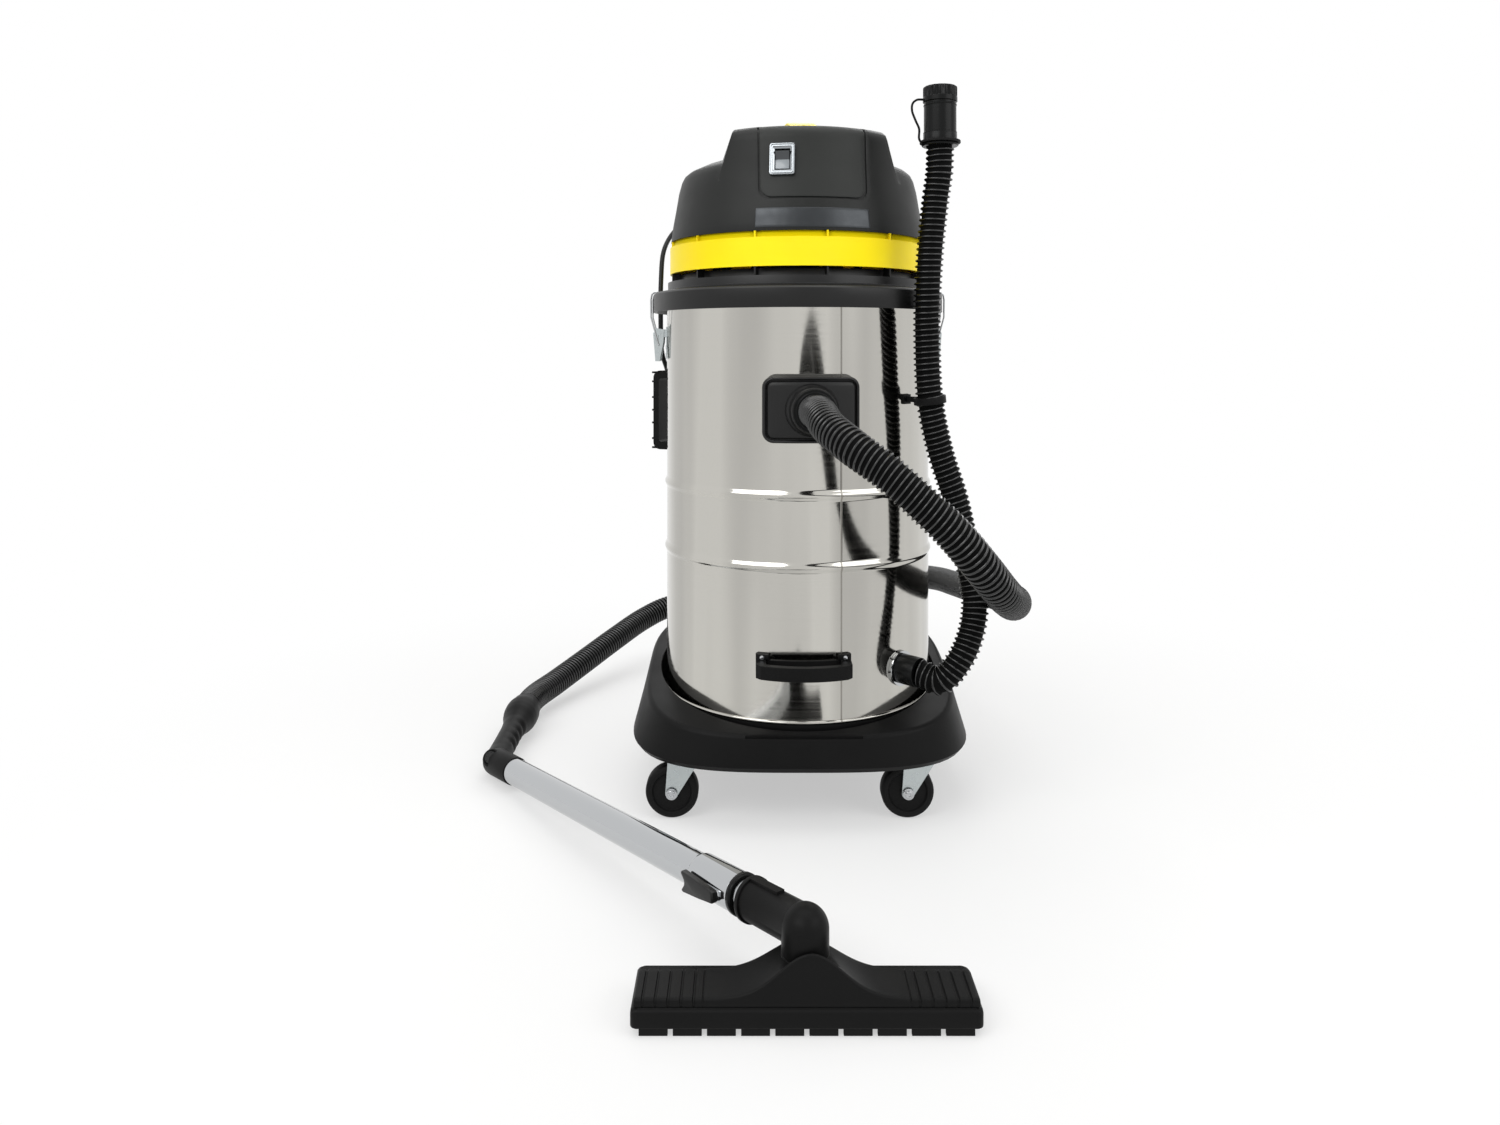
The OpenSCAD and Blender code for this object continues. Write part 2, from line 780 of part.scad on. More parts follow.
// Round bar along the wand
module wand_bar(r, from, to) {
    translate([from, 0, 0]) rotate([0, 90, 0]) cylinder(r = r, h = to - from);
}

module wand_pipe(r_out, r_in, from, to) {
    difference() {
        wand_bar(r_out, from, to);
        wand_bar(r_in, from - 1, to + 1);
    }
}

module on_regulator() {
    translate(elbow) rotate([0, regulator_lean, regulator_turn]) children();
}

module hose_grip() {
    groove_r = 13;
    grip_r = 19;
    axis = unit(grip_ball - elbow);
    color(soft_black) difference() {
        union() {
            rod(hose_end - [0, loose_gap, 0], grip_ball, hose_d / 2 + 2.5);
            translate(grip_ball) sphere(r = hose_d / 2 + 6);
            rod(grip_ball, elbow, grip_r);
            translate(elbow) sphere(r = elbow_r);
            on_wand() wand_bar(arm_r, 0, arm_l);
            on_wand() wand_bar(wand_inner_r, 0, arm_l + spigot_l);
        }
        for (i = [1 : 4]) translate(elbow + (28 + 24 * i) * axis + [grip_r + groove_r - 4, 0, -30])
            cylinder(r = groove_r, h = 60);
        on_regulator() disc(regulator_shaft_r + pin_gap, 10, 40);
        on_regulator() disc(regulator_r + 1, elbow_r - 0.5, 40);
    }
}

module grip_regulator() {
    color(black) on_regulator() {
        disc(regulator_shaft_r, 11, elbow_r);
        disc(regulator_r, elbow_r, elbow_r + 3.5);
        for (k = [0 : 7]) rotate([0, 0, 45 * k]) translate([regulator_r - 2, -0.8, elbow_r + 3])
            cube([1.5, 1.6, 1.2]);
    }
}

module wand_outer_tube() {
    bore = wand_inner_r + pin_gap;
    color(steel) on_wand() {
        wand_pipe(wand_r, bore, arm_l, lock_start);
        wand_pipe(lock_r, bore, lock_start, lock_end);
        difference() {
            translate([lock_start + 2, -lock_r - 2, -7]) cube([lock_l - 4, 6, 14]);
            wand_bar(bore, 0, lock_end + 10);
        }
    }
}

module wand_sleeve() {
    color(soft_black) on_wand() wand_pipe(lock_r, wand_inner_r + pin_gap, lock_end, sleeve_end);
}

module wand_button() {
    seat = -lock_r - 2 - seat_gap;
    start = lock_start + 5;
    end = lock_end - 12;
    color(soft_black) on_wand() translate([0, 0, -9]) linear_extrude(18)
        polygon([[start, seat], [start, seat - 4], [start + 12, seat - 7.5], [end - 8, seat - 7.5],
            [end, seat - 2], [end, seat]]);
}

module wand_inner_tube() {
    color(steel) on_wand() wand_pipe(wand_inner_r, wand_inner_r - 1, inner_start, inner_end);
}

// ---- Floor tool ----

module at_swivel() {
    translate([swivel[0], swivel[1], 0]) children();
}

module tool_neck() {
    spigot_r = duct_spigot_r - pin_gap;
    color(black) difference() {
        union() {
            on_wand() {
                wand_bar(neck_tube_r, neck_start, neck_end);
                wand_bar(neck_tube_r + 2.5, neck_start + 2, neck_start + 7);
                translate([neck_start + 8, -5, neck_tube_r - 2]) cube([neck_l - 45, 10, 5]);
            }
            translate(swivel) sphere(r = duct_r - 0.4);
            at_swivel() disc(duct_r - 0.4, duct_top + loose_gap, swivel[2]);
            at_swivel() disc(spigot_r, duct_top - 18, duct_top + 1);
        }
        on_wand() wand_bar(wand_inner_r + pin_gap, neck_start - 1, inner_end + 0.3);
        on_wand() wand_bar(wand_inner_r - 2, inner_end, neck_end);
        at_swivel() disc(duct_spigot_r - 4, duct_top - 20, swivel[2]);
    }
}

// Upper outline of the tool's shell, from one pad to the duct
function bell_line() = [[-100, plate_top + pad_h], [-64, plate_top + pad_h + 5],
    [-40, plate_top + pad_h + 15], [-30, duct_top - 5], [-duct_r, duct_top - 1]];

function mirrored(p) = [for (i = [len(p) - 1 : -1 : 0]) [-p[i][0], p[i][1]]];

module tool_body() {
    half = tool_w / 2;
    color(black) at_swivel() difference() {
        union() {
            translate([0, (tool_front + tool_back) / 2, lip_h]) linear_extrude(tool_plate_h)
                polygon(round_rect(tool_w, tool_depth, 6));
            translate([0, tool_front + 52, 0]) outward(50)
                polygon(concat([[-half + 3, lip_h + 5], [-half + 3, plate_top + pad_h]],
                    bell_line(), mirrored(bell_line()),
                    [[half - 3, plate_top + pad_h], [half - 3, lip_h + 5]]));
            disc(duct_r, lip_h + 5, duct_top);
        }
        translate([-cavity_x, -cavity_y, 0]) cube([2 * cavity_x, 2 * cavity_y, cavity_top]);
        disc(duct_spigot_r - 3, 0, duct_top + 1);
        disc(duct_spigot_r, duct_top - 20, duct_top + 1);
        for (side = [-1, 1], k = [0 : pad_grooves - 1])
            translate([side * (half - 12 - pad_pitch * k) - 1, tool_front, plate_top + pad_h - 1.5])
                cube([2, 60, 3]);
        translate([-cavity_x - 4, tool_front + 3 - loose_gap, 0])
            cube([2 * cavity_x + 8, lip_t + 2 * loose_gap, lip_h + lip_seat + loose_gap]);
        translate([-cavity_x - 4, tool_back - 3 - lip_t - loose_gap, 0])
            cube([2 * cavity_x + 8, lip_t + 2 * loose_gap, lip_h + lip_seat + loose_gap]);
    }
}

module tool_lips() {
    color(soft_black) at_swivel() {
        for (i = [0 : lip_count - 1])
            translate([(i - (lip_count - 1) / 2) * lip_pitch - lip_w / 2, tool_front + 3, 0])
                cube([lip_w, lip_t, lip_h + lip_seat]);
        translate([-(lip_count * lip_pitch - 5) / 2, tool_front + 3, lip_h - 0.5])
            cube([lip_count * lip_pitch - 5, lip_t, lip_seat + 0.5]);
    }
}

module tool_squeegee() {
    color("#b9bdb8") at_swivel() translate([-cavity_x, tool_back - 3 - lip_t, 0])
        cube([2 * cavity_x, lip_t, lip_h + lip_seat]);
}

// ---- Drain ----

module drain_fitting() {
    color(steel) on_drum(drain_turn, drain_z) difference() {
        union() {
            difference() {
                spoke(drain_ring_r, drum_r - 3, drum_r + 4);
                disc(drum_r + seat_gap, -drain_ring_r - 1, drain_ring_r + 1);
            }
            spoke(drain_spigot_r + 3, drum_r - 14, drum_r + 1);
            spoke(drain_spigot_r, drum_r, drum_r + 20);
        }
        spoke(drain_spigot_r - 2, drum_r - 20, drum_r + 30);
    }
}

module drain_cuff() {
    color(soft_black) on_drum(drain_turn, drain_z) difference() {
        spoke(drain_cuff_r, drum_r + 4 + seat_gap, drain_cuff_end);
        spoke(drain_spigot_r + pin_gap, drum_r, drum_r + 21);
        spoke(drain_spigot_r - 3, drum_r, drain_cuff_end + 1);
    }
}

module drain_hose() {
    facing = [sin(drain_turn), -cos(drain_turn), 0];
    color(black) swept(drain_route, drain_d / 2, facing, [0, 0, 1], 12);
}

module drain_connector() {
    color(black) translate(connector_at) difference() {
        union() {
            disc(connector_r, 0, connector_h);
            disc(connector_r + 2, 0, 3);
            disc(neck_r, connector_h - 1, connector_h + neck_h);
        }
        disc(connector_bore_r, -1, connector_h + neck_h + 1);
    }
}

module drain_cap() {
    low = connector_h + loose_gap;
    top = connector_h + neck_h + loose_gap;
    r = neck_r + loose_gap + cap_wall;
    color(black) translate(connector_at) {
        ring(r, neck_r + loose_gap, low, top);
        disc(r, top, top + 3);
        for (k = [0 : 17]) rotate([0, 0, 20 * k]) translate([r - 0.5, -1, low + 1]) cube([1.2, 2, neck_h - 1]);
    }
}

module drain_leash() {
    strap = connector_r + 5;
    strap_r = 1.6;
    color(soft_black) translate(connector_at) {
        ring(connector_r + 5, connector_r + loose_gap, 3 + seat_gap, 7);
        swept([[2 - strap, 0, 5], [-strap - 1, 0, 10], [-strap - 1, 0, 24], [-strap - 6, 0, 36],
            [-strap - 11, 0, 50], [-strap - 10, 0, 60], [-strap - 4, 0, 66], [-strap + 2, 0, 67]],
            strap_r, [-1, 0, 0.4], [1, 0, 0], 8);
    }
}

module drain_clip() {
    at = drain_route[clip_point];
    t = heading(drain_route, clip_point, [0, 0, 1], [0, 0, 1]);
    turn = atan2(at[0], -at[1]);
    reach = norm([at[0], at[1]]);
    hold_r = drain_d / 2 + 0.4;
    color(soft_black) {
        translate(at) rotate([0, acos(t[2]), atan2(t[1], t[0])]) ring(hold_r + 2.6, hold_r, -5, 5);
        on_drum(turn, at[2]) difference() {
            union() {
                translate([-2, -reach + hold_r + 0.6, -4]) cube([4, reach - hold_r - 0.6 - drum_r + 5, 8]);
                translate([-9, -drum_r - 2.5, -7]) cube([18, 8, 14]);
            }
            disc(drum_r + seat_gap, -10, 10);
        }
    }
}

// ---- Latches ----

module latch_brackets() {
    skin = drum_r + seat_gap;
    ear = latch_w / 2 - latch_t;
    ear_half = 6;
    color(zinc) for (turn = [-90, 90]) on_drum(turn) {
        intersection() {
            ring(skin + latch_t, skin, hinge[1] - 40, hinge[1] + 10);
            translate([-latch_w / 2, -drum_r - 10, 0]) cube([latch_w, 30, rim_z]);
        }
        difference() {
            for (side = [-1, 1]) translate([side * (ear + latch_t / 2) - latch_t / 2, -hinge[0] - 4, hinge[1] - ear_half])
                cube([latch_t, 20, 2 * ear_half]);
            disc(skin, 0, rim_z);
        }
        translate([0, -hinge[0], hinge[1]]) rotate([0, 90, 0]) {
            cylinder(r = hinge_pin_r, h = 2 * (lever_out + 0.4), center = true);
            for (side = [-1, 1]) translate([0, 0, side * (lever_out + 0.7)])
                cylinder(r = hinge_pin_r + 1, h = 0.8, center = true);
        }
    }
}

module latch_lever(turn) {
    pin = hinge_pin_r + pin_gap;
    u = -hinge[0];
    z = hinge[1];
    color(zinc) on_drum(turn) difference() {
        union() {
            for (side = [-1, 1]) translate([side * (lever_in + lever_out) / 2, 0, 0]) bar_x(latch_t)
                polygon([[u + 8, z + 6], [u - 5, z + 8], [u - 9.5, z], [u - 6, z - 44],
                    [u + 1, z - 44], [u + 7, z - 14]]);
            bar_x(2 * lever_out) polygon([[u - 9.5, z], [u - 6, z - 44], [u - 4.5, z - 44], [u - 8, z]]);
        }
        translate([0, u, z]) rotate([0, 90, 0]) cylinder(r = pin, h = 60, center = true);
        translate([0, -wire_pivot[0], wire_pivot[1]]) rotate([0, 90, 0])
            cylinder(r = wire_r + 0.08, h = 60, center = true);
    }
}

module latch_lever_left() {
    latch_lever(-90);
}

module latch_lever_right() {
    latch_lever(90);
}

// Side line of a latch wire from its pivot to its hook: [distance from the axis, height]
function wire_line() = [wire_pivot, [ring_r + 3.5, ring_low - 7], [ring_r + 3.8, ring_top - 10],
    [ring_r + 2.2, ring_top - 1.5], [ring_r - 2, ring_top + 1.8], [ring_r - 5.5, ring_top + wire_r + 0.6]];

module latch_wire(turn) {
    line = wire_line();
    hook = line[len(line) - 1];
    bend = 2.5;
    left = [for (p = line) [-wire_half, -p[0], p[1]]];
    right = [for (p = reversed(line)) [wire_half, -p[0], p[1]]];
    across = [for (x = [bend - wire_half, 0, wire_half - bend]) [x, 0.8 - hook[0], hook[1]]];
    color(steel) on_drum(turn) {
        swept(concat(left, across, right), wire_r, [0, 0, 1], [0, 0, -1], 12);
        translate([0, -wire_pivot[0], wire_pivot[1]]) rotate([0, 90, 0])
            cylinder(r = wire_r, h = 2 * wire_half + 2.4, center = true);
    }
}

module latch_wire_left() {
    latch_wire(-90);
}

module latch_wire_right() {
    latch_wire(90);
}

// ---- Head ----

module head_base() {
    socket_r = fan_r + 1.5;
    step_r = drum_r - 1.5;
    wall_r = drum_r - 20;
    color(black) on_drum(head_turn) {
        rotate_extrude() polygon([[45, base_z], [45, slot_z], [socket_r, slot_z], [socket_r, slot_z + 8],
            [socket_r + 3.5, slot_z + 8], [socket_r + 3.5, slot_z], [step_r, slot_z],
            [step_r, head_z + 12], [drum_r + 1, head_z + 10], [ring_r - 3, ring_top],
            [ring_r, head_z + 4], [ring_r, ring_low], [ring_r - ring_t, ring_low],
            [ring_r - ring_t, head_z], [drum_r - 9, head_z], [drum_r - 9, head_z - 30],
            [drum_r - 13, head_z - 30], [drum_r - 13, base_z]]);
        ring(wall_r, wall_r - 2.5, slot_z - 1, band_z - 2);
        for (k = [0 : vent_ribs - 1]) rotate([0, 0, (k + 0.5) * 360 / vent_ribs - 10])
            translate([wall_r - 1, -rib_w / 2, slot_z - 1]) cube([band_r - 1 - wall_r, rib_w, low_slot_h + 1]);
        for (k = [0 : 3]) rotate([0, 0, 45 + 90 * k]) translate([column_at, 0, 0])
            disc(column_r, slot_z - 1, column_top);
    }
}

module head_gasket() {
    color(soft_black) ring(drum_r + 9, drum_r - 7, rim_z, head_z);
}

module vent_band() {
    inner = band_r - band_wall;
    color(yellow) on_drum(head_turn) {
        ring(band_r, inner, band_z, band_top);
        ring(inner - 2, inner - 5, band_top - 10, cover_z - face_gap);
        for (k = [0 : vent_ribs - 1]) rotate([0, 0, (k + 0.5) * 360 / vent_ribs - 10])
            translate([inner - 5, -rib_w / 2, band_top - 10]) cube([6.5, rib_w, top_slot_h + 10 - face_gap]);
    }
}

// Line of the cover as radius and height, with the low crown or the raised boss
function cover_line(upper, middle) = concat(
    [for (p = concat(skirt_line, upper)) [drum_r - p[0], cover_z + p[1]]],
    [[0, cover_z + middle]]);

// Moves a cover line inwards, square to itself
function inset_line(p, t) = [for (i = [0 : len(p) - 1])
    i == 0 ? p[0] - [t, 0] :
    i == len(p) - 1 ? p[i] - [0, t] :
    let (d = unit(p[i + 1] - p[i - 1])) p[i] + t * [-d[1], d[0]]];

function closed_line(p) = concat([[0, p[0][1]]], p);

// Solid below a cover line, moved in by t
module cover_solid(upper, middle, t) {
    rotate_extrude() polygon(closed_line(inset_line(cover_line(upper, middle), t)));
}

// Long block across the head that cuts the boss out of the revolved shape
module boss_block(t) {
    slope = (boss_half_low - boss_half_top) / boss_side_h;
    foot = boss_half_top + slope * boss_deep - t;
    r = boss_round - t;
    top = boss_top + 1 - r;
    lean = atan(slope);
    at = boss_half_top - t - r * (1 - sin(lean)) / cos(lean);
    translate([0, drum_r, 0]) outward(2 * drum_r) polygon(concat(
        [[-foot, boss_top - boss_deep], [foot, boss_top - boss_deep]],
        arc([at, top], r, lean, 90, 8), arc([-at, top], r, 90, 180 - lean, 8)));
}

module cover_body(t) {
    cover_solid(shoulder_line, crown_h, t);
    intersection() {
        cover_solid(boss_line, boss_h, t);
        boss_block(t);
    }
}

// U-shaped front of the recess for the switch panel
module panel_block(edge) {
    half = panel_w / 2 - edge;
    low = panel_low + edge;
    r = panel_corner;
    translate([0, -panel_front, 0]) outward(80) polygon(concat(
        arc([r - half, low + r], r, 180, 270), arc([half - r, low + r], r, 270, 360),
        [[half, boss_top + 10], [-half, boss_top + 10]]));
}

// Places a piece in the switch's own frame: front face at 0, -Y outward
module on_switch() {
    on_drum(head_turn + switch_turn, switch_z) translate([0, -switch_r, 0]) rotate([-switch_lean, 0, 0]) children();
}

module switch_hole(gap) {
    on_switch() translate([0, switch_body_deep + 2, 0]) outward(switch_body_deep + 30)
        polygon(round_rect(switch_body_w + 2 * gap, switch_body_h + 2 * gap, 2));
}

module cover() {
    color(black) difference() {
        on_drum(head_turn) difference() {
            union() {
                difference() {
                    cover_body(0);
                    translate([0, 0, -0.01]) cover_body(cover_wall);
                }
                intersection() {
                    translate([-pocket_x - cover_wall, -pocket_y - cover_wall, pocket_z - cover_wall])
                        cube([2 * (pocket_x + cover_wall), 2 * (pocket_y + cover_wall), 60]);
                    cover_body(1);
                }
                difference() {
                    intersection() {
                        cover_body(0.5);
                        panel_block(-3);
                    }
                    cover_solid(boss_line, boss_h, cover_wall + panel_recess);
                }
                intersection() {
                    for (k = [0 : 3]) rotate([0, 0, 45 + 90 * k]) translate([column_at, 0, 0])
                        ring(column_r + 1, screw_r, column_top, boss_top);
                    cover_body(1);
                }
            }
            translate([-pocket_x, -pocket_y, pocket_z]) cube([2 * pocket_x, 2 * pocket_y, 60]);
            difference() {
                panel_block(0);
                cover_solid(boss_line, boss_h, panel_recess);
            }
        }
        switch_hole(0.3);
        on_drum(gland_turn, gland_z) spoke(7 + pin_gap, gland_r - 20, gland_r + 10);
    }
}

module switch_panel() {
    color(soft_black) difference() {
        on_drum(head_turn) difference() {
            intersection() {
                panel_block(panel_edge);
                cover_solid(boss_line, boss_h, 0.3);
                cover_body(0);
            }
            cover_solid(boss_line, boss_h, panel_recess - 0.1);
        }
        switch_hole(0.3);
    }
}

module switch_bezel() {
    color("#8d9294") on_switch() difference() {
        union() {
            outward(switch_proud) polygon(round_rect(switch_w, switch_h, 4));
            translate([0, switch_body_deep, 0]) outward(switch_body_deep + 1)
                polygon(round_rect(switch_body_w, switch_body_h, 2));
        }
        translate([0, switch_body_deep - 3, 0]) outward(switch_body_deep + 10)
            polygon(round_rect(window_w, window_h, 2));
        translate([0, rocker_pivot, 0]) rotate([0, 90, 0])
            cylinder(r = rocker_pin_r + pin_gap, h = switch_body_w - 0.6, center = true);
    }
}

module switch_rocker() {
    end = window_h / 2 - 2;
    color(soft_black) on_switch() translate([0, rocker_pivot, 0]) rotate([rocker_rest, 0, 0]) {
        bar_x(window_w - 1.4) polygon([[-7.5, end], [-5.5, 0], [-7.5, -end], [0, 2 - end],
            [3, 7 - end], [3, end - 7], [0, end - 2]]);
        rotate([0, 90, 0]) cylinder(r = rocker_pin_r, h = switch_body_w - 1, center = true);
    }
}

// Radius of an arch from half its span and its rise
function arch_r(half, rise) = (half * half + rise * rise) / (2 * rise);

module carry_handle() {
    foot_in = pocket_y + 13;
    foot_out = foot_in + 30;
    under = carry_h - carry_t;
    foot_h = 3;
    out_r = arch_r(foot_out, carry_h - foot_h);
    in_r = arch_r(foot_in, under);
    out_turn = asin(foot_out / out_r);
    in_turn = asin(foot_in / in_r);
    color(yellow) on_drum(head_turn, boss_top) bar_x(carry_w) polygon(concat(
        [[-foot_out, 0]], arc([0, carry_h - out_r], out_r, 90 + out_turn, 90 - out_turn, 20),
        [[foot_out, 0]], arc([0, under - in_r], in_r, 90 - in_turn, 90 + in_turn, 16)));
}

// ---- Motor, fan and filter ----

module fan_housing() {
    color("#9a9d9f") {
        ring(fan_r + 1.2, fan_eye_r, slot_z + face_gap, slot_z + housing_wall);
        ring(fan_r, fan_r - housing_wall, slot_z + face_gap, housing_top);
        ring(fan_r, bearing_r + pin_gap, housing_top - housing_wall, housing_top);
        ring(bearing_r + 4, bearing_r + pin_gap, bearing_low, bearing_low + bearing_h + 1);
        ring(bearing_r + 1, shaft_r + 2, bearing_low - 1.5, bearing_low);
    }
}

module fan_impeller() {
    color("#b4b7b9") {
        ring(impeller_r, fan_eye_r, impeller_z, impeller_z + 1.2);
        ring(impeller_r, shaft_r + pin_gap, impeller_z + impeller_h - 1.2, impeller_z + impeller_h);
        ring(shaft_r + 6, shaft_r + pin_gap, impeller_hub_z, impeller_z + impeller_h);
        for (k = [0 : 8]) rotate([0, 0, 40 * k]) translate([0, 10, impeller_z + 0.5]) rotate([0, 0, 25])
            translate([14, 0, 0]) cube([impeller_r - 26, 1.2, impeller_h - 1]);
    }
}

module motor_armature() {
    color("#a7744a") {
        disc(shaft_r, impeller_hub_z - 1, frame_top - 4);
        disc(core_r, housing_top + 18, housing_top + 63);
        disc(shaft_r + 8, housing_top + 68, housing_top + 83);
    }
}

module motor_bearings() {
    color(zinc) for (z = [bearing_low, bearing_high])
        ring(bearing_r, shaft_r + pin_gap, z, z + bearing_h);
}

module motor_frame() {
    color("#8f9294") {
        difference() {
            ring(stator_r + 4, stator_r - 0.5, housing_top + face_gap, frame_top);
            for (k = [0 : 3]) rotate([0, 0, 90 * k]) translate([0, -15, housing_top + 72]) cube([80, 30, 18]);
        }
        ring(stator_r, core_r + 1.5, housing_top + 13, housing_top + 68);
        ring(stator_r + 4, shaft_r + 3, frame_top - 4, frame_top);
        ring(bearing_r + 4, bearing_r + pin_gap, bearing_high - 1, frame_top - 3);
    }
}

module float_cage() {
    color(black) difference() {
        union() {
            ring(cage_r + 22, cage_r, base_z - 3, base_z);
            ring(cage_r + 2, cage_r, cage_low, base_z);
            ring(cage_r + 2, cage_drain_r, cage_low, cage_low + 3);
        }
        for (k = [0 : 5]) rotate([0, 0, 60 * k]) translate([0, -9, cage_low + 14]) cube([cage_r + 10, 18, 72]);
    }
}

module float_ball() {
    color("white") translate([0, 0, float_z]) sphere(r = float_r);
}

module filter_cartridge() {
    r = filter_d / 2;
    color("#d9d6cb") {
        ring(r - 3, r - 17, base_z - filter_h, base_z - 3);
        ring(r, r - 20, base_z - filter_h - 4, base_z - filter_h);
        ring(r, r - 20, base_z - 4, base_z);
    }
}

// ---- Mains lead ----

module cord_gland() {
    color(soft_black) on_drum(gland_turn, gland_z) difference() {
        union() {
            spoke(7, gland_r - 12, gland_r + 3);
            spoke(11, gland_r + 2, gland_r + 8);
            rotate([90, 0, 0]) translate([0, 0, gland_r + 8])
                cylinder(r1 = 8, r2 = lead_d / 2 + 1.5, h = gland_end - gland_r - 8.6);
        }
        spoke(lead_d / 2 - 1, gland_r - 13, gland_end + 1);
    }
}

module mains_lead() {
    facing = [sin(gland_turn), -cos(gland_turn), 0];
    color(soft_black) swept(lead_route, lead_d / 2, facing, [1, 0, 0], 8);
}

module lead_coil() {
    bevel = 6;
    low = coil_lift;
    high = coil_lift + coil_h;
    color(soft_black) translate(coil_at) rotate_extrude() polygon([
        [coil_r_in + bevel, low], [coil_r_out - bevel, low], [coil_r_out, low + bevel],
        [coil_r_out, high - bevel], [coil_r_out - bevel, high], [coil_r_in + bevel, high],
        [coil_r_in, high - bevel], [coil_r_in, low + bevel]]);
    color(soft_black) translate(coil_at) rod([lead_end_r, 0, coil_lift + plug_r],
        [lead_end_r, lead_end_l, coil_lift + plug_r], lead_d / 2);
}

module mains_plug() {
    start = lead_end_l + face_gap;
    color(soft_black) translate([coil_at[0] + lead_end_r, coil_at[1], coil_lift + plug_r]) rotate([-90, 0, 0]) {
        translate([0, 0, start]) cylinder(r1 = 5, r2 = 8, h = 16);
        translate([0, 0, start + 15]) cylinder(r = plug_r, h = 34);
        for (x = [-9.5, 9.5]) translate([x, 0, start + 48]) cylinder(r = 2.4, h = 20);
    }
}

dolly();
caster_plates();
caster_fork(-caster_x, -caster_y);  // caster_fork_fl
caster_fork(caster_x, -caster_y);  // caster_fork_fr
caster_fork(-caster_x, caster_y);  // caster_fork_rl
caster_fork(caster_x, caster_y);  // caster_fork_rr
caster_wheel(-caster_x, -caster_y);  // caster_wheel_fl
caster_wheel(caster_x, -caster_y);  // caster_wheel_fr
caster_wheel(-caster_x, caster_y);  // caster_wheel_rl
caster_wheel(caster_x, caster_y);  // caster_wheel_rr
drum();
front_handle();
side_handle_left();
side_handle_right();
fasteners();
inlet_plate();
hose_cuff();
suction_hose();
hose_grip();
grip_regulator();
wand_outer_tube();
wand_sleeve();
wand_button();
wand_inner_tube();
tool_neck();
tool_body();
tool_lips();
tool_squeegee();
drain_fitting();
drain_cuff();
drain_hose();
drain_connector();
drain_cap();
drain_leash();
drain_clip();
latch_brackets();
latch_lever_left();
latch_lever_right();
latch_wire_left();
latch_wire_right();
head_base();
head_gasket();
vent_band();
cover();
switch_panel();
switch_bezel();
switch_rocker();
carry_handle();
motor_frame();
motor_armature();
fan_housing();
fan_impeller();
motor_bearings();
float_cage();
float_ball();
filter_cartridge();
mains_lead();
lead_coil();
mains_plug();
cord_gland();
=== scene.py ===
"""Industrial wet-and-dry vacuum cleaner: the drum on its castered dolly, the head,
the suction hose with its wand and floor tool, the drain hose and the mains lead.

Lengths in Blender are in metres; tables and profiles are in millimetres and become metres
through MM. The frame is the CAD model's own: the origin is on the floor under the drum's
axis, the inlet side faces -Y and +Z is up."""

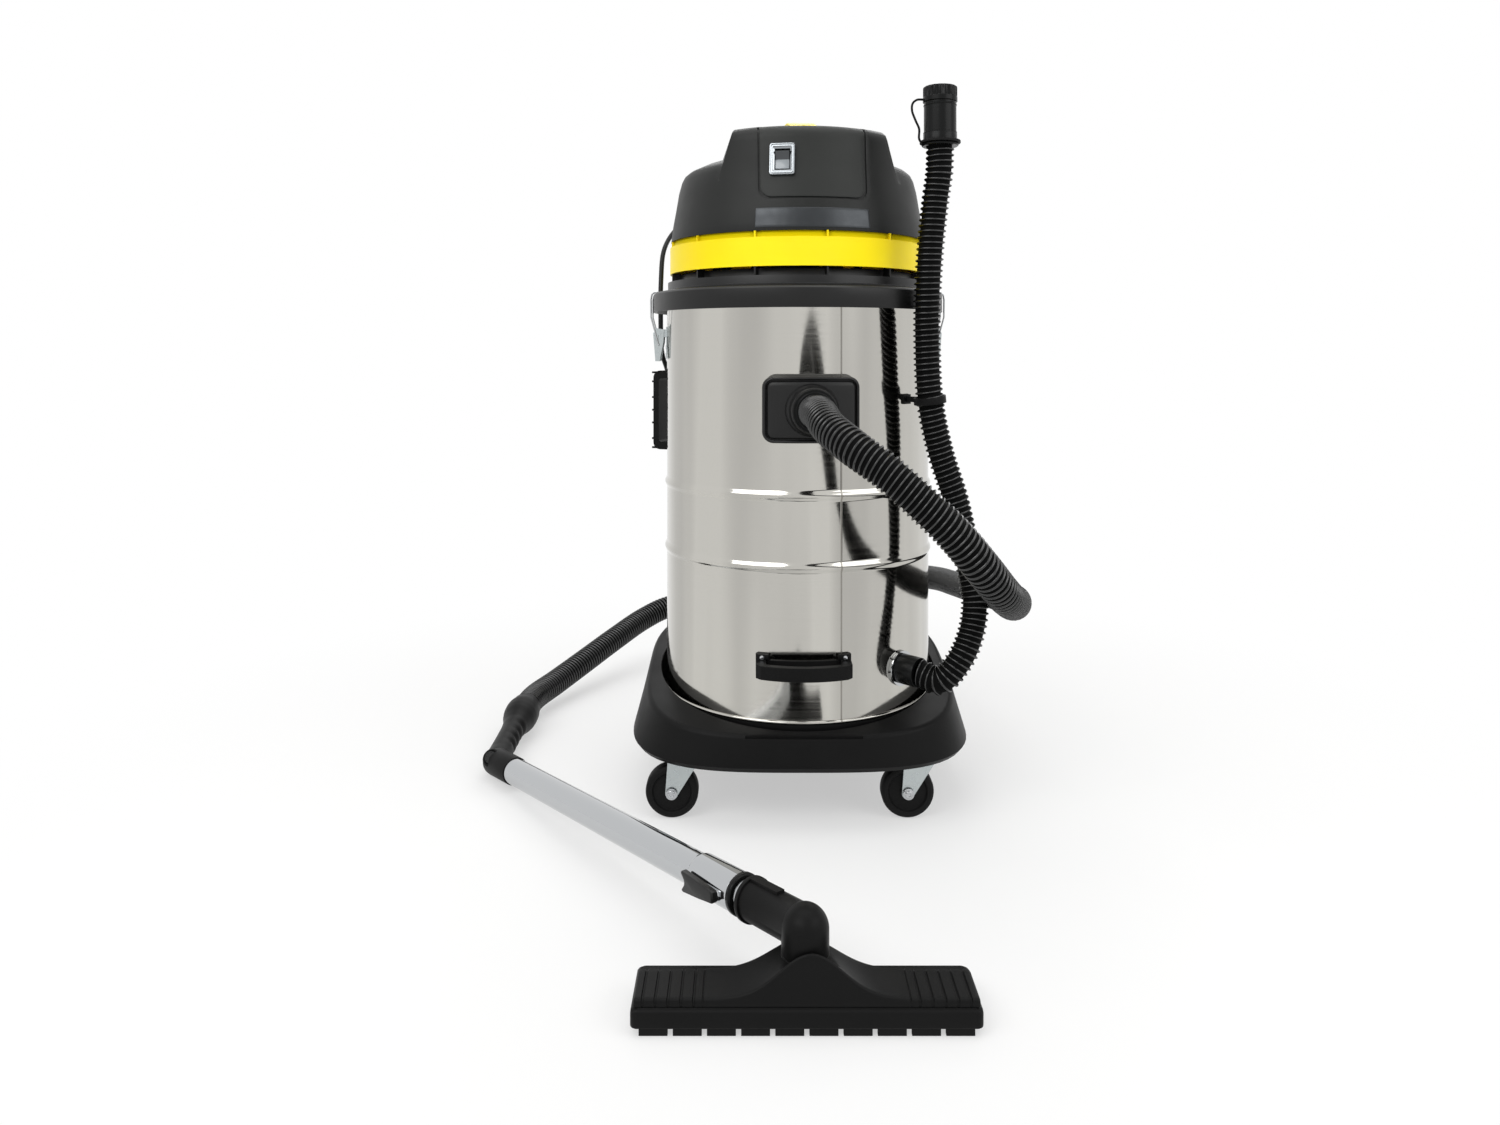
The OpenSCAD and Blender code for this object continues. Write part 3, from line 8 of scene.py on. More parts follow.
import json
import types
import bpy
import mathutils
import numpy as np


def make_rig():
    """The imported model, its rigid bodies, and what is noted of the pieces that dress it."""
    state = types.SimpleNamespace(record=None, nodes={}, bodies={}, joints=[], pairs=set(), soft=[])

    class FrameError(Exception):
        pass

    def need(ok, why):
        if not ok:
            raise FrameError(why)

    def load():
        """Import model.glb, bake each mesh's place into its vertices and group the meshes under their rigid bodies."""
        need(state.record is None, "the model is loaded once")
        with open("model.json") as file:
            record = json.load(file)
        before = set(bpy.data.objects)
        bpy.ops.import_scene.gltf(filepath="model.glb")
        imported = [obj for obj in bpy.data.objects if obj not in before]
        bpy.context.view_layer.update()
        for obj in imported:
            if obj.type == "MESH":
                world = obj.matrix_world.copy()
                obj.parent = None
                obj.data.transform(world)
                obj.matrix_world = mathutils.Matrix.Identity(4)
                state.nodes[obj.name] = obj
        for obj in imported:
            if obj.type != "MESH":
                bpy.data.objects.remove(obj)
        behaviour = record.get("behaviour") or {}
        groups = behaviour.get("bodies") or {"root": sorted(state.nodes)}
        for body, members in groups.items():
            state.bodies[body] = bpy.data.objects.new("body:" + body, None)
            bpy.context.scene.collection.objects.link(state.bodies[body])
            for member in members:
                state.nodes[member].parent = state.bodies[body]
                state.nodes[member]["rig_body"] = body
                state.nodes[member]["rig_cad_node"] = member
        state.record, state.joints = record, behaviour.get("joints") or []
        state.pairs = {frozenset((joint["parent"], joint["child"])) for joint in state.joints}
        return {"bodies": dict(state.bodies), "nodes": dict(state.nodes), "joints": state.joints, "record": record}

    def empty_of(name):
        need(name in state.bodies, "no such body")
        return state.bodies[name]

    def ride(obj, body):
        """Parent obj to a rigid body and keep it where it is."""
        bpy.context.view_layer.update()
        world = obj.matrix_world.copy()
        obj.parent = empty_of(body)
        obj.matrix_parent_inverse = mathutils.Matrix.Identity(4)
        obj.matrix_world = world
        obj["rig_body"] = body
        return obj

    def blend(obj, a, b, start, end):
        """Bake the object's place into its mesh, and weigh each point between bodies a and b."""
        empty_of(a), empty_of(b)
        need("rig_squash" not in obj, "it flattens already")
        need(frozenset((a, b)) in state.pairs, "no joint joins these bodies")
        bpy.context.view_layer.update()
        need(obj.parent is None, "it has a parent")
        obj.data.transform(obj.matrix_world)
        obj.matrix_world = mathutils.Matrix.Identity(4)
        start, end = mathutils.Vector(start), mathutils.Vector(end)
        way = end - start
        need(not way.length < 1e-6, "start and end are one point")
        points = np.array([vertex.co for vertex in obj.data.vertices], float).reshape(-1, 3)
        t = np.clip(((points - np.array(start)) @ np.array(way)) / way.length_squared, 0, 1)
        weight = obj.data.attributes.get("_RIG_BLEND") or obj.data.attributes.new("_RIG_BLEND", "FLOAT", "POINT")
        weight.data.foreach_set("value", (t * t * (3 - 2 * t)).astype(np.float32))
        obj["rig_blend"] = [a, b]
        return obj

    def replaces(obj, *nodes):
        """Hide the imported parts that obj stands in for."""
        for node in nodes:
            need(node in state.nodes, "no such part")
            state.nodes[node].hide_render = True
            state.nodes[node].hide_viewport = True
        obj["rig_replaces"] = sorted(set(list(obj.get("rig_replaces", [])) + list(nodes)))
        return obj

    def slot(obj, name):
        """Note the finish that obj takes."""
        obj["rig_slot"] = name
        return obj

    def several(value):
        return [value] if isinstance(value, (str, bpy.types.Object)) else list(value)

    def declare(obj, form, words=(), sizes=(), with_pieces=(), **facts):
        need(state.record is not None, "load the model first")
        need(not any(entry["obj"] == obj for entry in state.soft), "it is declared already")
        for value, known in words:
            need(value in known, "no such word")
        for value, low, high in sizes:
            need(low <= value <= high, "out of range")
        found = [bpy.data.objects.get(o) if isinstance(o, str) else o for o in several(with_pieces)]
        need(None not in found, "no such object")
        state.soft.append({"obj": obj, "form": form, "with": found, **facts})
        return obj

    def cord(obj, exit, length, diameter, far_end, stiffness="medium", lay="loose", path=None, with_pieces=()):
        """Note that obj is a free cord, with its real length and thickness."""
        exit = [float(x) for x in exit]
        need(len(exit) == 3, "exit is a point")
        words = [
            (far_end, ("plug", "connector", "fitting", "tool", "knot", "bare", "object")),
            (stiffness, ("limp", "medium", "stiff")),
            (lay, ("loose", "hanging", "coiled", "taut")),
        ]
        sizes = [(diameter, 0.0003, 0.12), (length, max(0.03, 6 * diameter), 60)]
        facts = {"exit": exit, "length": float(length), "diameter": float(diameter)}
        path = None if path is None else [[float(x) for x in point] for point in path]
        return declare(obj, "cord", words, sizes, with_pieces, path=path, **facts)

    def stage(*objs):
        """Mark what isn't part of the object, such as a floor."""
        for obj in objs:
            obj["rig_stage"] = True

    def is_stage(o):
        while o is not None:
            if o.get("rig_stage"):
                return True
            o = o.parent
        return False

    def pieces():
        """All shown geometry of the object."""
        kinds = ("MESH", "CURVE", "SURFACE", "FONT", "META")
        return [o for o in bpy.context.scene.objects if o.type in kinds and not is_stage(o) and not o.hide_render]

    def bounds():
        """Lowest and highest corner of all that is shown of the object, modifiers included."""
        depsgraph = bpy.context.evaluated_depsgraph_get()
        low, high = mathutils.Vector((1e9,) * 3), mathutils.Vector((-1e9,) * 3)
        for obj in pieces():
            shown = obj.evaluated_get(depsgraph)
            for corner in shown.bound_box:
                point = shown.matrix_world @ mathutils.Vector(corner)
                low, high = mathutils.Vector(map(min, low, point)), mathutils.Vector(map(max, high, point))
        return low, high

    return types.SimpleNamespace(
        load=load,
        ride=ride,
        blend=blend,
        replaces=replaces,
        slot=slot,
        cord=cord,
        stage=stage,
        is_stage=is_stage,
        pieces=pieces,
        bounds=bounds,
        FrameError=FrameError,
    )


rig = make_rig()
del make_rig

bl_info = {
    "name": "Wet and dry vacuum cleaner",
    "version": (1, 0, 0),
    "blender": (4, 5, 0),
    "location": "View3D > Sidebar > Vacuum",
    "description": "Builds the visible pieces and the finishes of a wet and dry vacuum cleaner",
    "category": "Object",
}

import sys

import json
import math

import bmesh
import bpy
from bpy.props import FloatProperty, FloatVectorProperty, PointerProperty
from mathutils import Matrix, Vector
from mathutils.bvhtree import BVHTree

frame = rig.load()
CAD_BOX = [list(corner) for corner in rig.bounds()]
NODES = frame["nodes"]
FINISHES = {}
MM = 0.001


# ---- Sizes and colours that a user may change ----

def linear(text):
    """Linear colour with alpha from an sRGB hex value."""
    channels = [int(text[i:i + 2], 16) / 255 for i in (1, 3, 5)]
    return [c / 12.92 if c <= 0.04045 else ((c + 0.055) / 1.055) ** 2.4 for c in channels] + [1.0]


def length(name, description, mm, least, most):
    """A length property whose default is given in millimetres."""
    return FloatProperty(name=name, description=description, default=mm * MM, min=least * MM,
                         max=most * MM, subtype="DISTANCE", unit="LENGTH", precision=4)


def colour(name, description, text):
    """A colour property whose default is an sRGB hex value."""
    return FloatVectorProperty(name=name, description=description, default=linear(text)[:3],
                               min=0.0, max=1.0, size=3, subtype="COLOR")


class VACUUM_PG_sizes(bpy.types.PropertyGroup):
    """Sizes of the dressed pieces."""
    rim_roll: length("Rim roll", "Radius of the rolled edge round the drum's rim", 2.6, 1.5, 4)
    bead_rise: length("Bead rise", "How far the drum's two beads stand out", 3, 1, 5)
    suction_pitch: length("Suction rib pitch", "Distance between two ribs of the suction hose", 7.0, 5, 9)
    suction_depth: length("Suction rib depth", "Depth of the grooves of the suction hose", 3.1, 1, 4)
    drain_pitch: length("Drain rib pitch", "Distance between two ribs of the drain hose", 8.1, 6, 11)
    drain_depth: length("Drain rib depth", "Depth of the grooves of the drain hose", 3.4, 1.5, 4)


class VACUUM_PG_colours(bpy.types.PropertyGroup):
    """Colours of the finishes."""
    charcoal: colour("Charcoal", "Satin plastic of the cover", "#1a1b1a")
    black: colour("Black", "Duller plastic of the dolly, handles and floor tool", "#101010")
    gloss: colour("Gloss black", "Glossy plastic of the grip and the connector", "#0e0f0f")
    band: colour("Yellow", "Vent band and carry handle", "#ffdd02")
    steel: colour("Drum steel", "Polished sheet of the drum", "#b9b7b1")
    chrome: colour("Chrome", "Wand tubes and latch wires", "#b9bbbd")
    zinc: colour("Zinc", "Caster forks and latches", "#b2babc")
    hose: colour("Hose", "Ribbed hoses", "#0a0b0b")
    rubber: colour("Rubber", "Wheels, lips and gasket", "#0d0d0d")


# ---- Points, outlines and routes ----

def metres(points):
    """Vectors in metres of points in millimetres."""
    return [Vector(p) * MM for p in points]


def arc(centre, radius, start, end, steps):
    """Points (a, b) of an arc between two angles in degrees."""
    turns = [math.radians(start + (end - start) * i / steps) for i in range(steps + 1)]
    return [(centre[0] + radius * math.cos(turn), centre[1] + radius * math.sin(turn)) for turn in turns]


def round_rect(w, h, r, steps=5, along=1, up=1):
    """Outline of a rectangle with round corners, and with steps along its level and upright sides."""
    x, z = w / 2 - r, h / 2 - r
    centres = ((x, z), (-x, z), (-x, -z), (x, -z))
    points = []
    for i, centre in enumerate(centres):
        points += arc(centre, r, 90 * i, 90 * i + 90, steps)
        after = (i + 1) % 4
        a, b = points[-1], arc(centres[after], r, 90 * after, 90 * after, 1)[0]
        count = (along, up)[i % 2]
        points += [(a[0] + (b[0] - a[0]) * k / count, a[1] + (b[1] - a[1]) * k / count) for k in range(1, count)]
    return points


def between(a, b, start, end, t):
    """The point at t on the line that is at a for start and at b for end."""
    return a * ((end - t) / (end - start)) + b * ((t - start) / (end - start))


def smooth_route(points, spacing, dense=24):
    """Evenly spaced points in metres on a smooth curve through the given ones in millimetres."""
    p = metres(points)
    p = [2 * p[0] - p[1]] + p + [2 * p[-1] - p[-2]]
    line = []
    for i in range(1, len(p) - 2):
        a, b, c, d = p[i - 1:i + 3]
        t0, t1 = 0.0, math.sqrt((b - a).length)
        t2 = t1 + math.sqrt((c - b).length)
        t3 = t2 + math.sqrt((d - c).length)
        for k in range(dense):
            t = t1 + (t2 - t1) * k / dense
            middle = between(b, c, t1, t2, t)
            before = between(between(a, b, t0, t1, t), middle, t0, t2, t)
            after = between(middle, between(c, d, t2, t3, t), t1, t3, t)
            line.append(between(before, after, t1, t2, t))
    return resample(line + [p[-2]], spacing)


def resample(points, spacing):
    """The same line with evenly spaced points."""
    run = [0.0]
    for a, b in zip(points, points[1:]):
        run.append(run[-1] + (b - a).length)
    count = max(2, round(run[-1] / spacing))
    out, k = [], 0
    for i in range(count + 1):
        s = run[-1] * i / count
        while k < len(points) - 2 and run[k + 1] < s:
            k += 1
        span = run[k + 1] - run[k]
        out.append(points[k].lerp(points[k + 1], (s - run[k]) / span if span else 0.0))
    return out


def route_length(points):
    return sum((b - a).length for a, b in zip(points, points[1:]))


def carried_sides(points):
    """Two side vectors at each point, carried along without twist."""
    sides, u = [], Vector((0.1, 0.2, 1.0))
    for i in range(len(points)):
        t = (points[min(i + 1, len(points) - 1)] - points[max(i - 1, 0)]).normalized()
        u = (u - u.dot(t) * t).normalized()
        sides.append((u, t.cross(u)))
    return sides


# ---- Shapes: each is a list of vertices and a list of faces ----

def skin(rings, first=False, last=False, wrap=False):
    """A skin over rings of as many points each, with a lid on the first or the last if asked for.

    With wrap it goes on from the last ring to the first."""
    n, rows = len(rings[0]), len(rings)
    faces = [(i * n + k, i * n + (k + 1) % n, (i + 1) % rows * n + (k + 1) % n, (i + 1) % rows * n + k)
             for i in range(rows if wrap else rows - 1) for k in range(n)]
    faces += [tuple(range(n))] * first + [tuple(range((rows - 1) * n, rows * n))] * last
    return [v for ring in rings for v in ring], faces


def lathe(profile, steps, place=Matrix(), close=False):
    """A profile of (radius, height) in millimetres, turned round Z and moved to its place."""
    verts, faces, n = [], [], len(profile)
    for i in range(steps):
        turn = math.tau * i / steps
        verts += [(r * MM * math.cos(turn), r * MM * math.sin(turn), z * MM) for r, z in profile]
        j = (i + 1) % steps
        faces += [(i * n + k, j * n + k, j * n + (k + 1) % n, i * n + (k + 1) % n)
                  for k in range(n if close else n - 1)]
    return moved((verts, faces), place)


def moved(shape, place):
    return [place @ Vector(v) for v in shape[0]], shape[1]


def joined(*shapes):
    """One shape from several."""
    verts, faces = [], []
    for more_verts, more_faces in shapes:
        faces += [tuple(len(verts) + i for i in face) for face in more_faces]
        verts += [Vector(v) for v in more_verts]
    return verts, faces


def turned(degrees, z):
    """Places a piece that faces -Y round the drum's axis and lifts it by so many millimetres."""
    return Matrix.Translation((0, 0, z * MM)) @ Matrix.Rotation(math.radians(degrees), 4, "Z")


# ---- Pieces in the scene ----

def added(name, data):
    """A new object in the scene."""
    thing = bpy.data.objects.new(name, data)
    bpy.context.scene.collection.objects.link(thing)
    return thing


def piece(name, shape, finish, body, slot, replaces=(), sharp=None, second=None, parts=None):
    """Add a mesh piece that rides on a body, if one is named, and stands for its CAD nodes.

    parts marks with 1 each face that has the second finish."""
    mesh = bpy.data.meshes.new(name)
    mesh.from_pydata([tuple(v) for v in shape[0]], [], shape[1])
    mesh.materials.append(FINISHES[finish])
    if second:
        mesh.materials.append(FINISHES[second])
        mesh.polygons.foreach_set("material_index", parts)
    mesh.validate()
    outward = bmesh.new()
    outward.from_mesh(mesh)
    bmesh.ops.recalc_face_normals(outward, faces=outward.faces)
    outward.to_mesh(mesh)
    outward.free()
    mesh.shade_smooth()
    if sharp is not None:
        mesh.set_sharp_from_angle(angle=math.radians(sharp))
    thing = added(name, mesh)
    if body:
        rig.ride(thing, body)
    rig.slot(thing, slot)
    if replaces:
        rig.replaces(thing, *replaces)
    return thing


def dress(name, finish):
    """Give a CAD node a finish."""
    thing = NODES[name]
    if not thing.data.materials:
        thing.data.materials.append(FINISHES[finish])
    for slot in thing.material_slots:
        slot.material = FINISHES[finish]


def soften(name, width):
    """Round a CAD node's edges with modifiers, so that its own mesh stays as it is."""
    weld = NODES[name].modifiers.new("Join corners", "WELD")
    weld.merge_threshold = 0.02 * MM
    bevel = NODES[name].modifiers.new("Round edges", "BEVEL")
    bevel.width = width
    bevel.segments = 2
    bevel.angle_limit = math.radians(34)


def even_shading(name):
    """Shade a CAD node's facets as one curved skin: each corner's normal follows the larger face."""
    thing = NODES[name]
    thing.data.polygons.foreach_set("use_smooth", [True] * len(thing.data.polygons))
    thing.modifiers.new("Even shading", "WEIGHTED_NORMAL")


# ---- Nodes of the materials ----

def put(tree, kind, inputs=(), **settings):
    """Add one node with its settings; an input is a value or another node's output."""
    node = tree.nodes.new(kind)
    for key, value in settings.items():
        setattr(node, key, value)
    for key, value in dict(inputs).items():
        if isinstance(value, bpy.types.NodeSocket):
            tree.links.new(value, node.inputs[key])
        else:
            node.inputs[key].default_value = value
    return node


def shade(base, times=1.0, lift=0.0):
    """A colour made darker or lighter, with full alpha."""
    return [min(1.0, c * times + lift) for c in list(base)[:3]] + [1.0]


def fresh(name, base, roughness, metallic=0.0, **sockets):
    """A material with one Principled shader, whose even values stand on its own sockets.

    It comes with its node tree, the shader and the object's own coordinates."""
    material = bpy.data.materials.get(name)
    if material:
        bpy.data.materials.remove(material)
    material = bpy.data.materials.new(name)
    material.use_nodes = True
    tree = material.node_tree
    tree.nodes.clear()
    values = {"Base Color": shade(base), "Roughness": roughness, "Metallic": metallic}
    values.update({key.replace("_", " "): value for key, value in sockets.items()})
    shader = put(tree, "ShaderNodeBsdfPrincipled", values)
    put(tree, "ShaderNodeOutputMaterial", {"Surface": shader.outputs[0]})
    material.diffuse_color = values["Base Color"]
    return material, tree, shader, put(tree, "ShaderNodeTexCoord").outputs["Object"]


def wire(tree, shader, **outputs):
    """Join outputs to the shader's sockets of the same names."""
    for key, output in outputs.items():
        tree.links.new(output, shader.inputs[key.replace("_", " ")])


def noise(tree, place, size_mm, detail, **inputs):
    """Noise of one size in millimetres, or of a size along each axis."""
    if isinstance(size_mm, tuple):
        across = [1 / (size * MM) for size in size_mm]
        place = put(tree, "ShaderNodeMapping", {"Vector": place, "Scale": across}).outputs[0]
        scale = 1.0
    else:
        scale = 1 / (size_mm * MM)
    values = {"Vector": place, "Scale": scale, "Detail": detail, **inputs}
    return put(tree, "ShaderNodeTexNoise", values).outputs["Fac"]


def ranged(tree, value, low, high, start=0.3, end=0.7, **settings):
    """A value that goes from low to high while the given one goes from start to end."""
    values = {"Value": value, "From Min": start, "From Max": end, "To Min": low, "To Max": high}
    return put(tree, "ShaderNodeMapRange", values, **settings).outputs[0]


def mixed(tree, share, first, second):
    """A colour between two others."""
    return put(tree, "ShaderNodeMix", {0: share, 6: first, 7: second}, data_type="RGBA").outputs[2]


def bump(tree, height, strength, depth_mm, **inputs):
    """A relief as deep as the depth in millimetres."""
    values = {"Height": height, "Strength": strength, "Distance": depth_mm * MM, **inputs}
    return put(tree, "ShaderNodeBump", values).outputs[0]


def calc(tree, operation, *values):
    """The result of one sum."""
    return put(tree, "ShaderNodeMath", dict(enumerate(values)), operation=operation).outputs[0]


def straight_rays(tree):
    """1 for what is seen straight, in a reflection or through a piece, and 0 for scattered light."""
    rays = put(tree, "ShaderNodeLightPath").outputs
    seen = calc(tree, "MAXIMUM", rays["Is Camera Ray"], rays["Is Glossy Ray"])
    return calc(tree, "MAXIMUM", seen, rays["Is Transmission Ray"])


# ---- Materials ----

def moulded(name, base, roughness, grain_mm, depth_mm, specular=0.5, **sockets):
    """Injection moulded plastic: even colour, eroded tool grain, faint marks of handling."""
    material, tree, shader, place = fresh(name, base, roughness, IOR=1.5, Specular_IOR_Level=specular, **sockets)
    grain = noise(tree, place, grain_mm, 2.0, Roughness=0.65)
    marks = noise(tree, place, 70, 5.0)
    tone = mixed(tree, marks, shade(base), shade(base, 1.16, 0.002))
    sheen = ranged(tree, marks, roughness - 0.05, roughness + 0.06)
    wire(tree, shader, Base_Color=tone, Roughness=sheen, Normal=bump(tree, grain, 0.5, depth_mm))
    return material


def metal(name, base, roughness, wave_mm, depth_mm, spread, tint=None):
    """Bare or plated metal: even body colour, slight waves in the sheet, uneven polish."""
    material, tree, shader, place = fresh(name, base, roughness, metallic=1.0)
    waves = noise(tree, place, wave_mm, 3.0)
    wire(tree, shader, Roughness=ranged(tree, waves, roughness - spread, roughness + spread),
         Normal=bump(tree, waves, 0.6, depth_mm))
    if tint:
        wire(tree, shader, Base_Color=mixed(tree, waves, shade(base), linear(tint)))
    return material


def polished_sheet(base):
    """Stainless sheet, rolled, polished to a mirror and welded along one upright seam.

    The eye gets soft clear reflections that bend a little, faint upright light and dark bands painted
    into its colour as a reflection of the studio, and a thin dull line at the weld."""
    material, tree, shader, place = fresh("polished_stainless_sheet", base, 0.1, metallic=1.0)
    waves = noise(tree, place, 150, 2.0)
    lines = noise(tree, place, (260, 260, 3), 2.0)
    # Painted reflection: upright light and dark bands in the sheet's colour stand in for reflected studio light.
    bands = noise(tree, place, (55, 55, 1600), 1.0)
    across = put(tree, "ShaderNodeSeparateXYZ", {0: place}).outputs
    turn = calc(tree, "ARCTAN2", across["X"], calc(tree, "MULTIPLY", across["Y"], -1.0))
    away = calc(tree, "ABSOLUTE", calc(tree, "SUBTRACT", turn, math.radians(WELD_TURN)))
    weld = ranged(tree, away, 1.0, 0.0, WELD_HALF / DRUM_R, 2 * WELD_HALF / DRUM_R,
                  interpolation_type="SMOOTHSTEP")
    rough = calc(tree, "MULTIPLY_ADD", weld, 0.22, ranged(tree, lines, 0.07, 0.13))
    # The sheet's colour goes 12% lighter and darker along the painted reflection bands.
    body = mixed(tree, ranged(tree, bands, 0.0, 1.0, 0.35, 0.65), shade(base, 0.88), shade(base, 1.12))
    wire(tree, shader, Roughness=rough, Base_Color=mixed(tree, weld, body, linear("#8f8c86")),
         Normal=bump(tree, weld, 0.5, 0.15, Normal=bump(tree, waves, 0.5, 0.5)))
    return material


def filter_fleece():
    """Pleated paper of a filter: matt, pale, with a fibre tooth and grey dust in it."""
    material, tree, shader, place = fresh("filter_paper", linear("#d9d6cb"), 0.9)
    fibre = noise(tree, place, 1.5, 4.0)
    dust = noise(tree, place, 40, 4.0)
    wire(tree, shader, Base_Color=mixed(tree, dust, linear("#dedbd0"), linear("#c4c0b4")),
         Normal=bump(tree, fibre, 0.5, 0.2))
    return material


def wound_copper():
    """Enamelled copper wire and laminated iron of an armature: fine upright lines, brown gloss."""
    material, tree, shader, place = fresh("enamelled_copper", linear("#a7744a"), 0.35, metallic=1.0)
    # One band of the wave is one wire, 1 mm thick.
    values = {"Vector": place, "Scale": 1 / (3 * MM), "Distortion": 1.5}
    wires = put(tree, "ShaderNodeTexWave", values, bands_direction="Z").outputs["Fac"]
    wire(tree, shader, Base_Color=mixed(tree, wires, linear("#8a5a36"), linear("#b9825a")),
         Normal=bump(tree, wires, 0.6, 0.4))
    return material


def make_finishes():
    """All finishes by name. Grain is drawn at 1.2 to 2.5 mm, coarser than the real 0.3 mm, so that it shows."""
    c = bpy.context.scene.vacuum_colours
    made = (
        # Polypropylene, moulded with a fine eroded grain: soft wide highlights on charcoal.
        moulded("satin_polypropylene", c.charcoal, 0.45, 1.4, 0.04, 0.22),
        # The same plastic with a coarser grain on the switch panel: duller and greyer.
        moulded("grained_polypropylene", shade(c.charcoal, 2.1), 0.48, 2.0, 0.08, 0.2),
        # The same plastic on the dolly and handles, a little blacker and duller.
        moulded("black_polypropylene", c.black, 0.44, 1.6, 0.06, 0.09),
        # Polypropylene with a brighter satin, on the inlet plate and the head's ring.
        moulded("satin_black_polypropylene", c.black, 0.36, 1.6, 0.04, 0.3),
        # ABS, moulded in a polished tool: sharp reflections on near black.
        moulded("gloss_abs", c.gloss, 0.26, 2.0, 0.01, 0.13),
        # ABS coloured through, moulded with a light satin: warm clear yellow.
        moulded("yellow_abs", c.band, 0.36, 1.6, 0.03, 0.18),
        # Plasticised vinyl, extruded and wound hot: oily sheen along each rib.
        moulded("vinyl_hose", c.hose, 0.22, 2.5, 0.02, 0.65),
        # The same vinyl between the ribs, painted darker and duller as the shade that falls in the grooves.
        moulded("vinyl_groove", shade(c.hose, 0.3), 0.75, 2.5, 0.03, 0.08),
        # Vulcanised rubber, moulded: matt, slightly grey, powdery.
        moulded("moulded_rubber", c.rubber, 0.6, 1.2, 0.06, 0.15),
        # Vinyl sheath of the lead, extruded: smooth, half gloss.
        moulded("vinyl_sheath", linear("#181919"), 0.4, 1.5, 0.02, 0.2),
        # Clear grey polyurethane strip, cast: milky and half see-through.
        moulded("cast_polyurethane", linear("#b4b8b4"), 0.3, 2.0, 0.02, Transmission_Weight=0.35),
        polished_sheet(c.steel),
        # Steel tube, ground and chromed: bright, very smooth.
        metal("chromed_steel", c.chrome, 0.07, 40, 0.02, 0.02),
        # Pressed steel, zinc plated and passivated: grey, soft shine, faint blue and straw tint.
        metal("zinc_plate", c.zinc, 0.3, 9, 0.03, 0.06, tint="#c0c5c4"),
        # Aluminium, pressed and left bare: pale and soft.
        metal("pressed_aluminium", linear("#b4b7b9"), 0.34, 12, 0.03, 0.05),
        # Electrical steel, stamped and stacked: dark grey with a dull shine.
        metal("stacked_iron", linear("#8f9294"), 0.42, 4, 0.05, 0.05),
        wound_copper(),
        filter_fleece(),
        # White polypropylene float, moulded: clean and waxy.
        moulded("white_polypropylene", linear("#e6e6e0"), 0.4, 1.5, 0.03),
        # White ink, pad printed: flat and slightly raised.
        moulded("printed_white", linear("#e9e9e6"), 0.5, 1.5, 0.01),
        # ABS, metallised in a vacuum: bright silver with a faint orange peel.
        metal("metallised_abs", linear("#969a9d"), 0.2, 3, 0.01, 0.04),
        # Aluminium sheet, brushed and anodised grey: dull metal shine.
        metal("anodised_aluminium", linear("#3e4042"), 0.34, 14, 0.02, 0.05),
        # Polycarbonate, moulded milky: pale grey with a clean gloss.
        moulded("pale_polycarbonate", linear("#90969a"), 0.2, 2.0, 0.01),
        # Polycarbonate, moulded with a smoke tint: dark grey, wet gloss.
        moulded("smoked_polycarbonate", linear("#3a3d40"), 0.12, 2.0, 0.01),
    )
    return {material.name: material for material in made}


# ---- Stage, camera and cords ----

# Routes of the two hoses and of the lead, as in the part's source, in millimetres
SUCTION_ROUTE = [(13, -256, 580), (16, -310, 580), (24, -360, 566), (50, -400, 545),
    (90, -422, 516), (130, -432, 480), (167, -434, 444), (200, -424, 405),
    (226, -398, 374), (252, -345, 348), (274, -275, 330), (290, -195, 314),
    (302, -110, 297), (311.2, 0, 277), (316.7, 110, 256), (316.7, 220, 238),
    (311.2, 320, 224), (296, 420, 212), (262, 510, 198), (205, 580, 182),
    (130, 630, 165), (45, 654.3, 150), (-45, 659.1, 138), (-130, 644.4, 127),
    (-205, 615, 118), (-256, 590, 112), (-300, 550, 98), (-350, 470, 78),
    (-400, 385, 56), (-440, 310, 40), (-464, 245, 35), (-469, 190, 35)]
DRAIN_ROUTE = [(167, -173, 205), (192, -190, 200), (220, -190, 229), (238, -180, 265),
    (245, -170, 308), (237, -160, 363), (219, -160, 449), (197, -160, 520),
    (182, -165, 592), (177, -170, 692), (177, -175, 737), (180, -180, 804),
    (187, -183, 875), (192, -185, 915), (193, -185, 950)]
LEAD_ROUTE = [(-164, 164, 894), (-180, 175, 890), (-196, 172, 880), (-210, 150, 862),
    (-221, 118, 830), (-223, 92, 780), (-223, 85, 720), (-222, 100, 660),
    (-214, 125, 625), (-195, 170, 500), (-170, 235, 300), (-152, 278, 150),
    (-143, 297, 80), (-139, 301, 45), (-128, 305, 20), (-111, 309, 8),
    (-93, 312, 4.3), (-62, 313, 4.3), (-30.8, 313, 4.3)]
COIL_AT = (0, 370)
# Turns of the coil from the floor up, each as its radius and height
COIL_TURNS = [(57, 4.3), (49, 4.3), (41, 4.3), (33, 4.3), (37, 11.2), (45, 11.2), (53, 11.2),
              (49, 18.1), (41, 18.1), (33, 18.1), (37, 25), (45, 25), (53, 25), (57, 17.3)]
PLUG_START = (57, 411, 17.3)
# Where the coil's first turn starts, in degrees, and the share of each turn that leads over to the next
COIL_START, COIL_STEPS, OVER = -97, 36, 0.2
STRAP_X, STRAP_HALF = COIL_AT[0] - 45, 8.5

SUCTION_R, DRAIN_R, LEAD_R = 23, 20, 4
# Depth of each line of one rib, from 0 on the crest to 1 in the groove
SUCTION_RIB = (0.0, 0.0, 0.45, 1.0, 1.0, 1.0, 1.0, 0.45)
DRAIN_RIB = (0.0, 0.22, 1.0, 1.0, 1.0, 1.0, 1.0, 0.22)
# A face lies in the groove, where the finish is painted darker and duller as shade, when the depths of its two lines
# add up to more than this
IN_GROOVE = 1.2

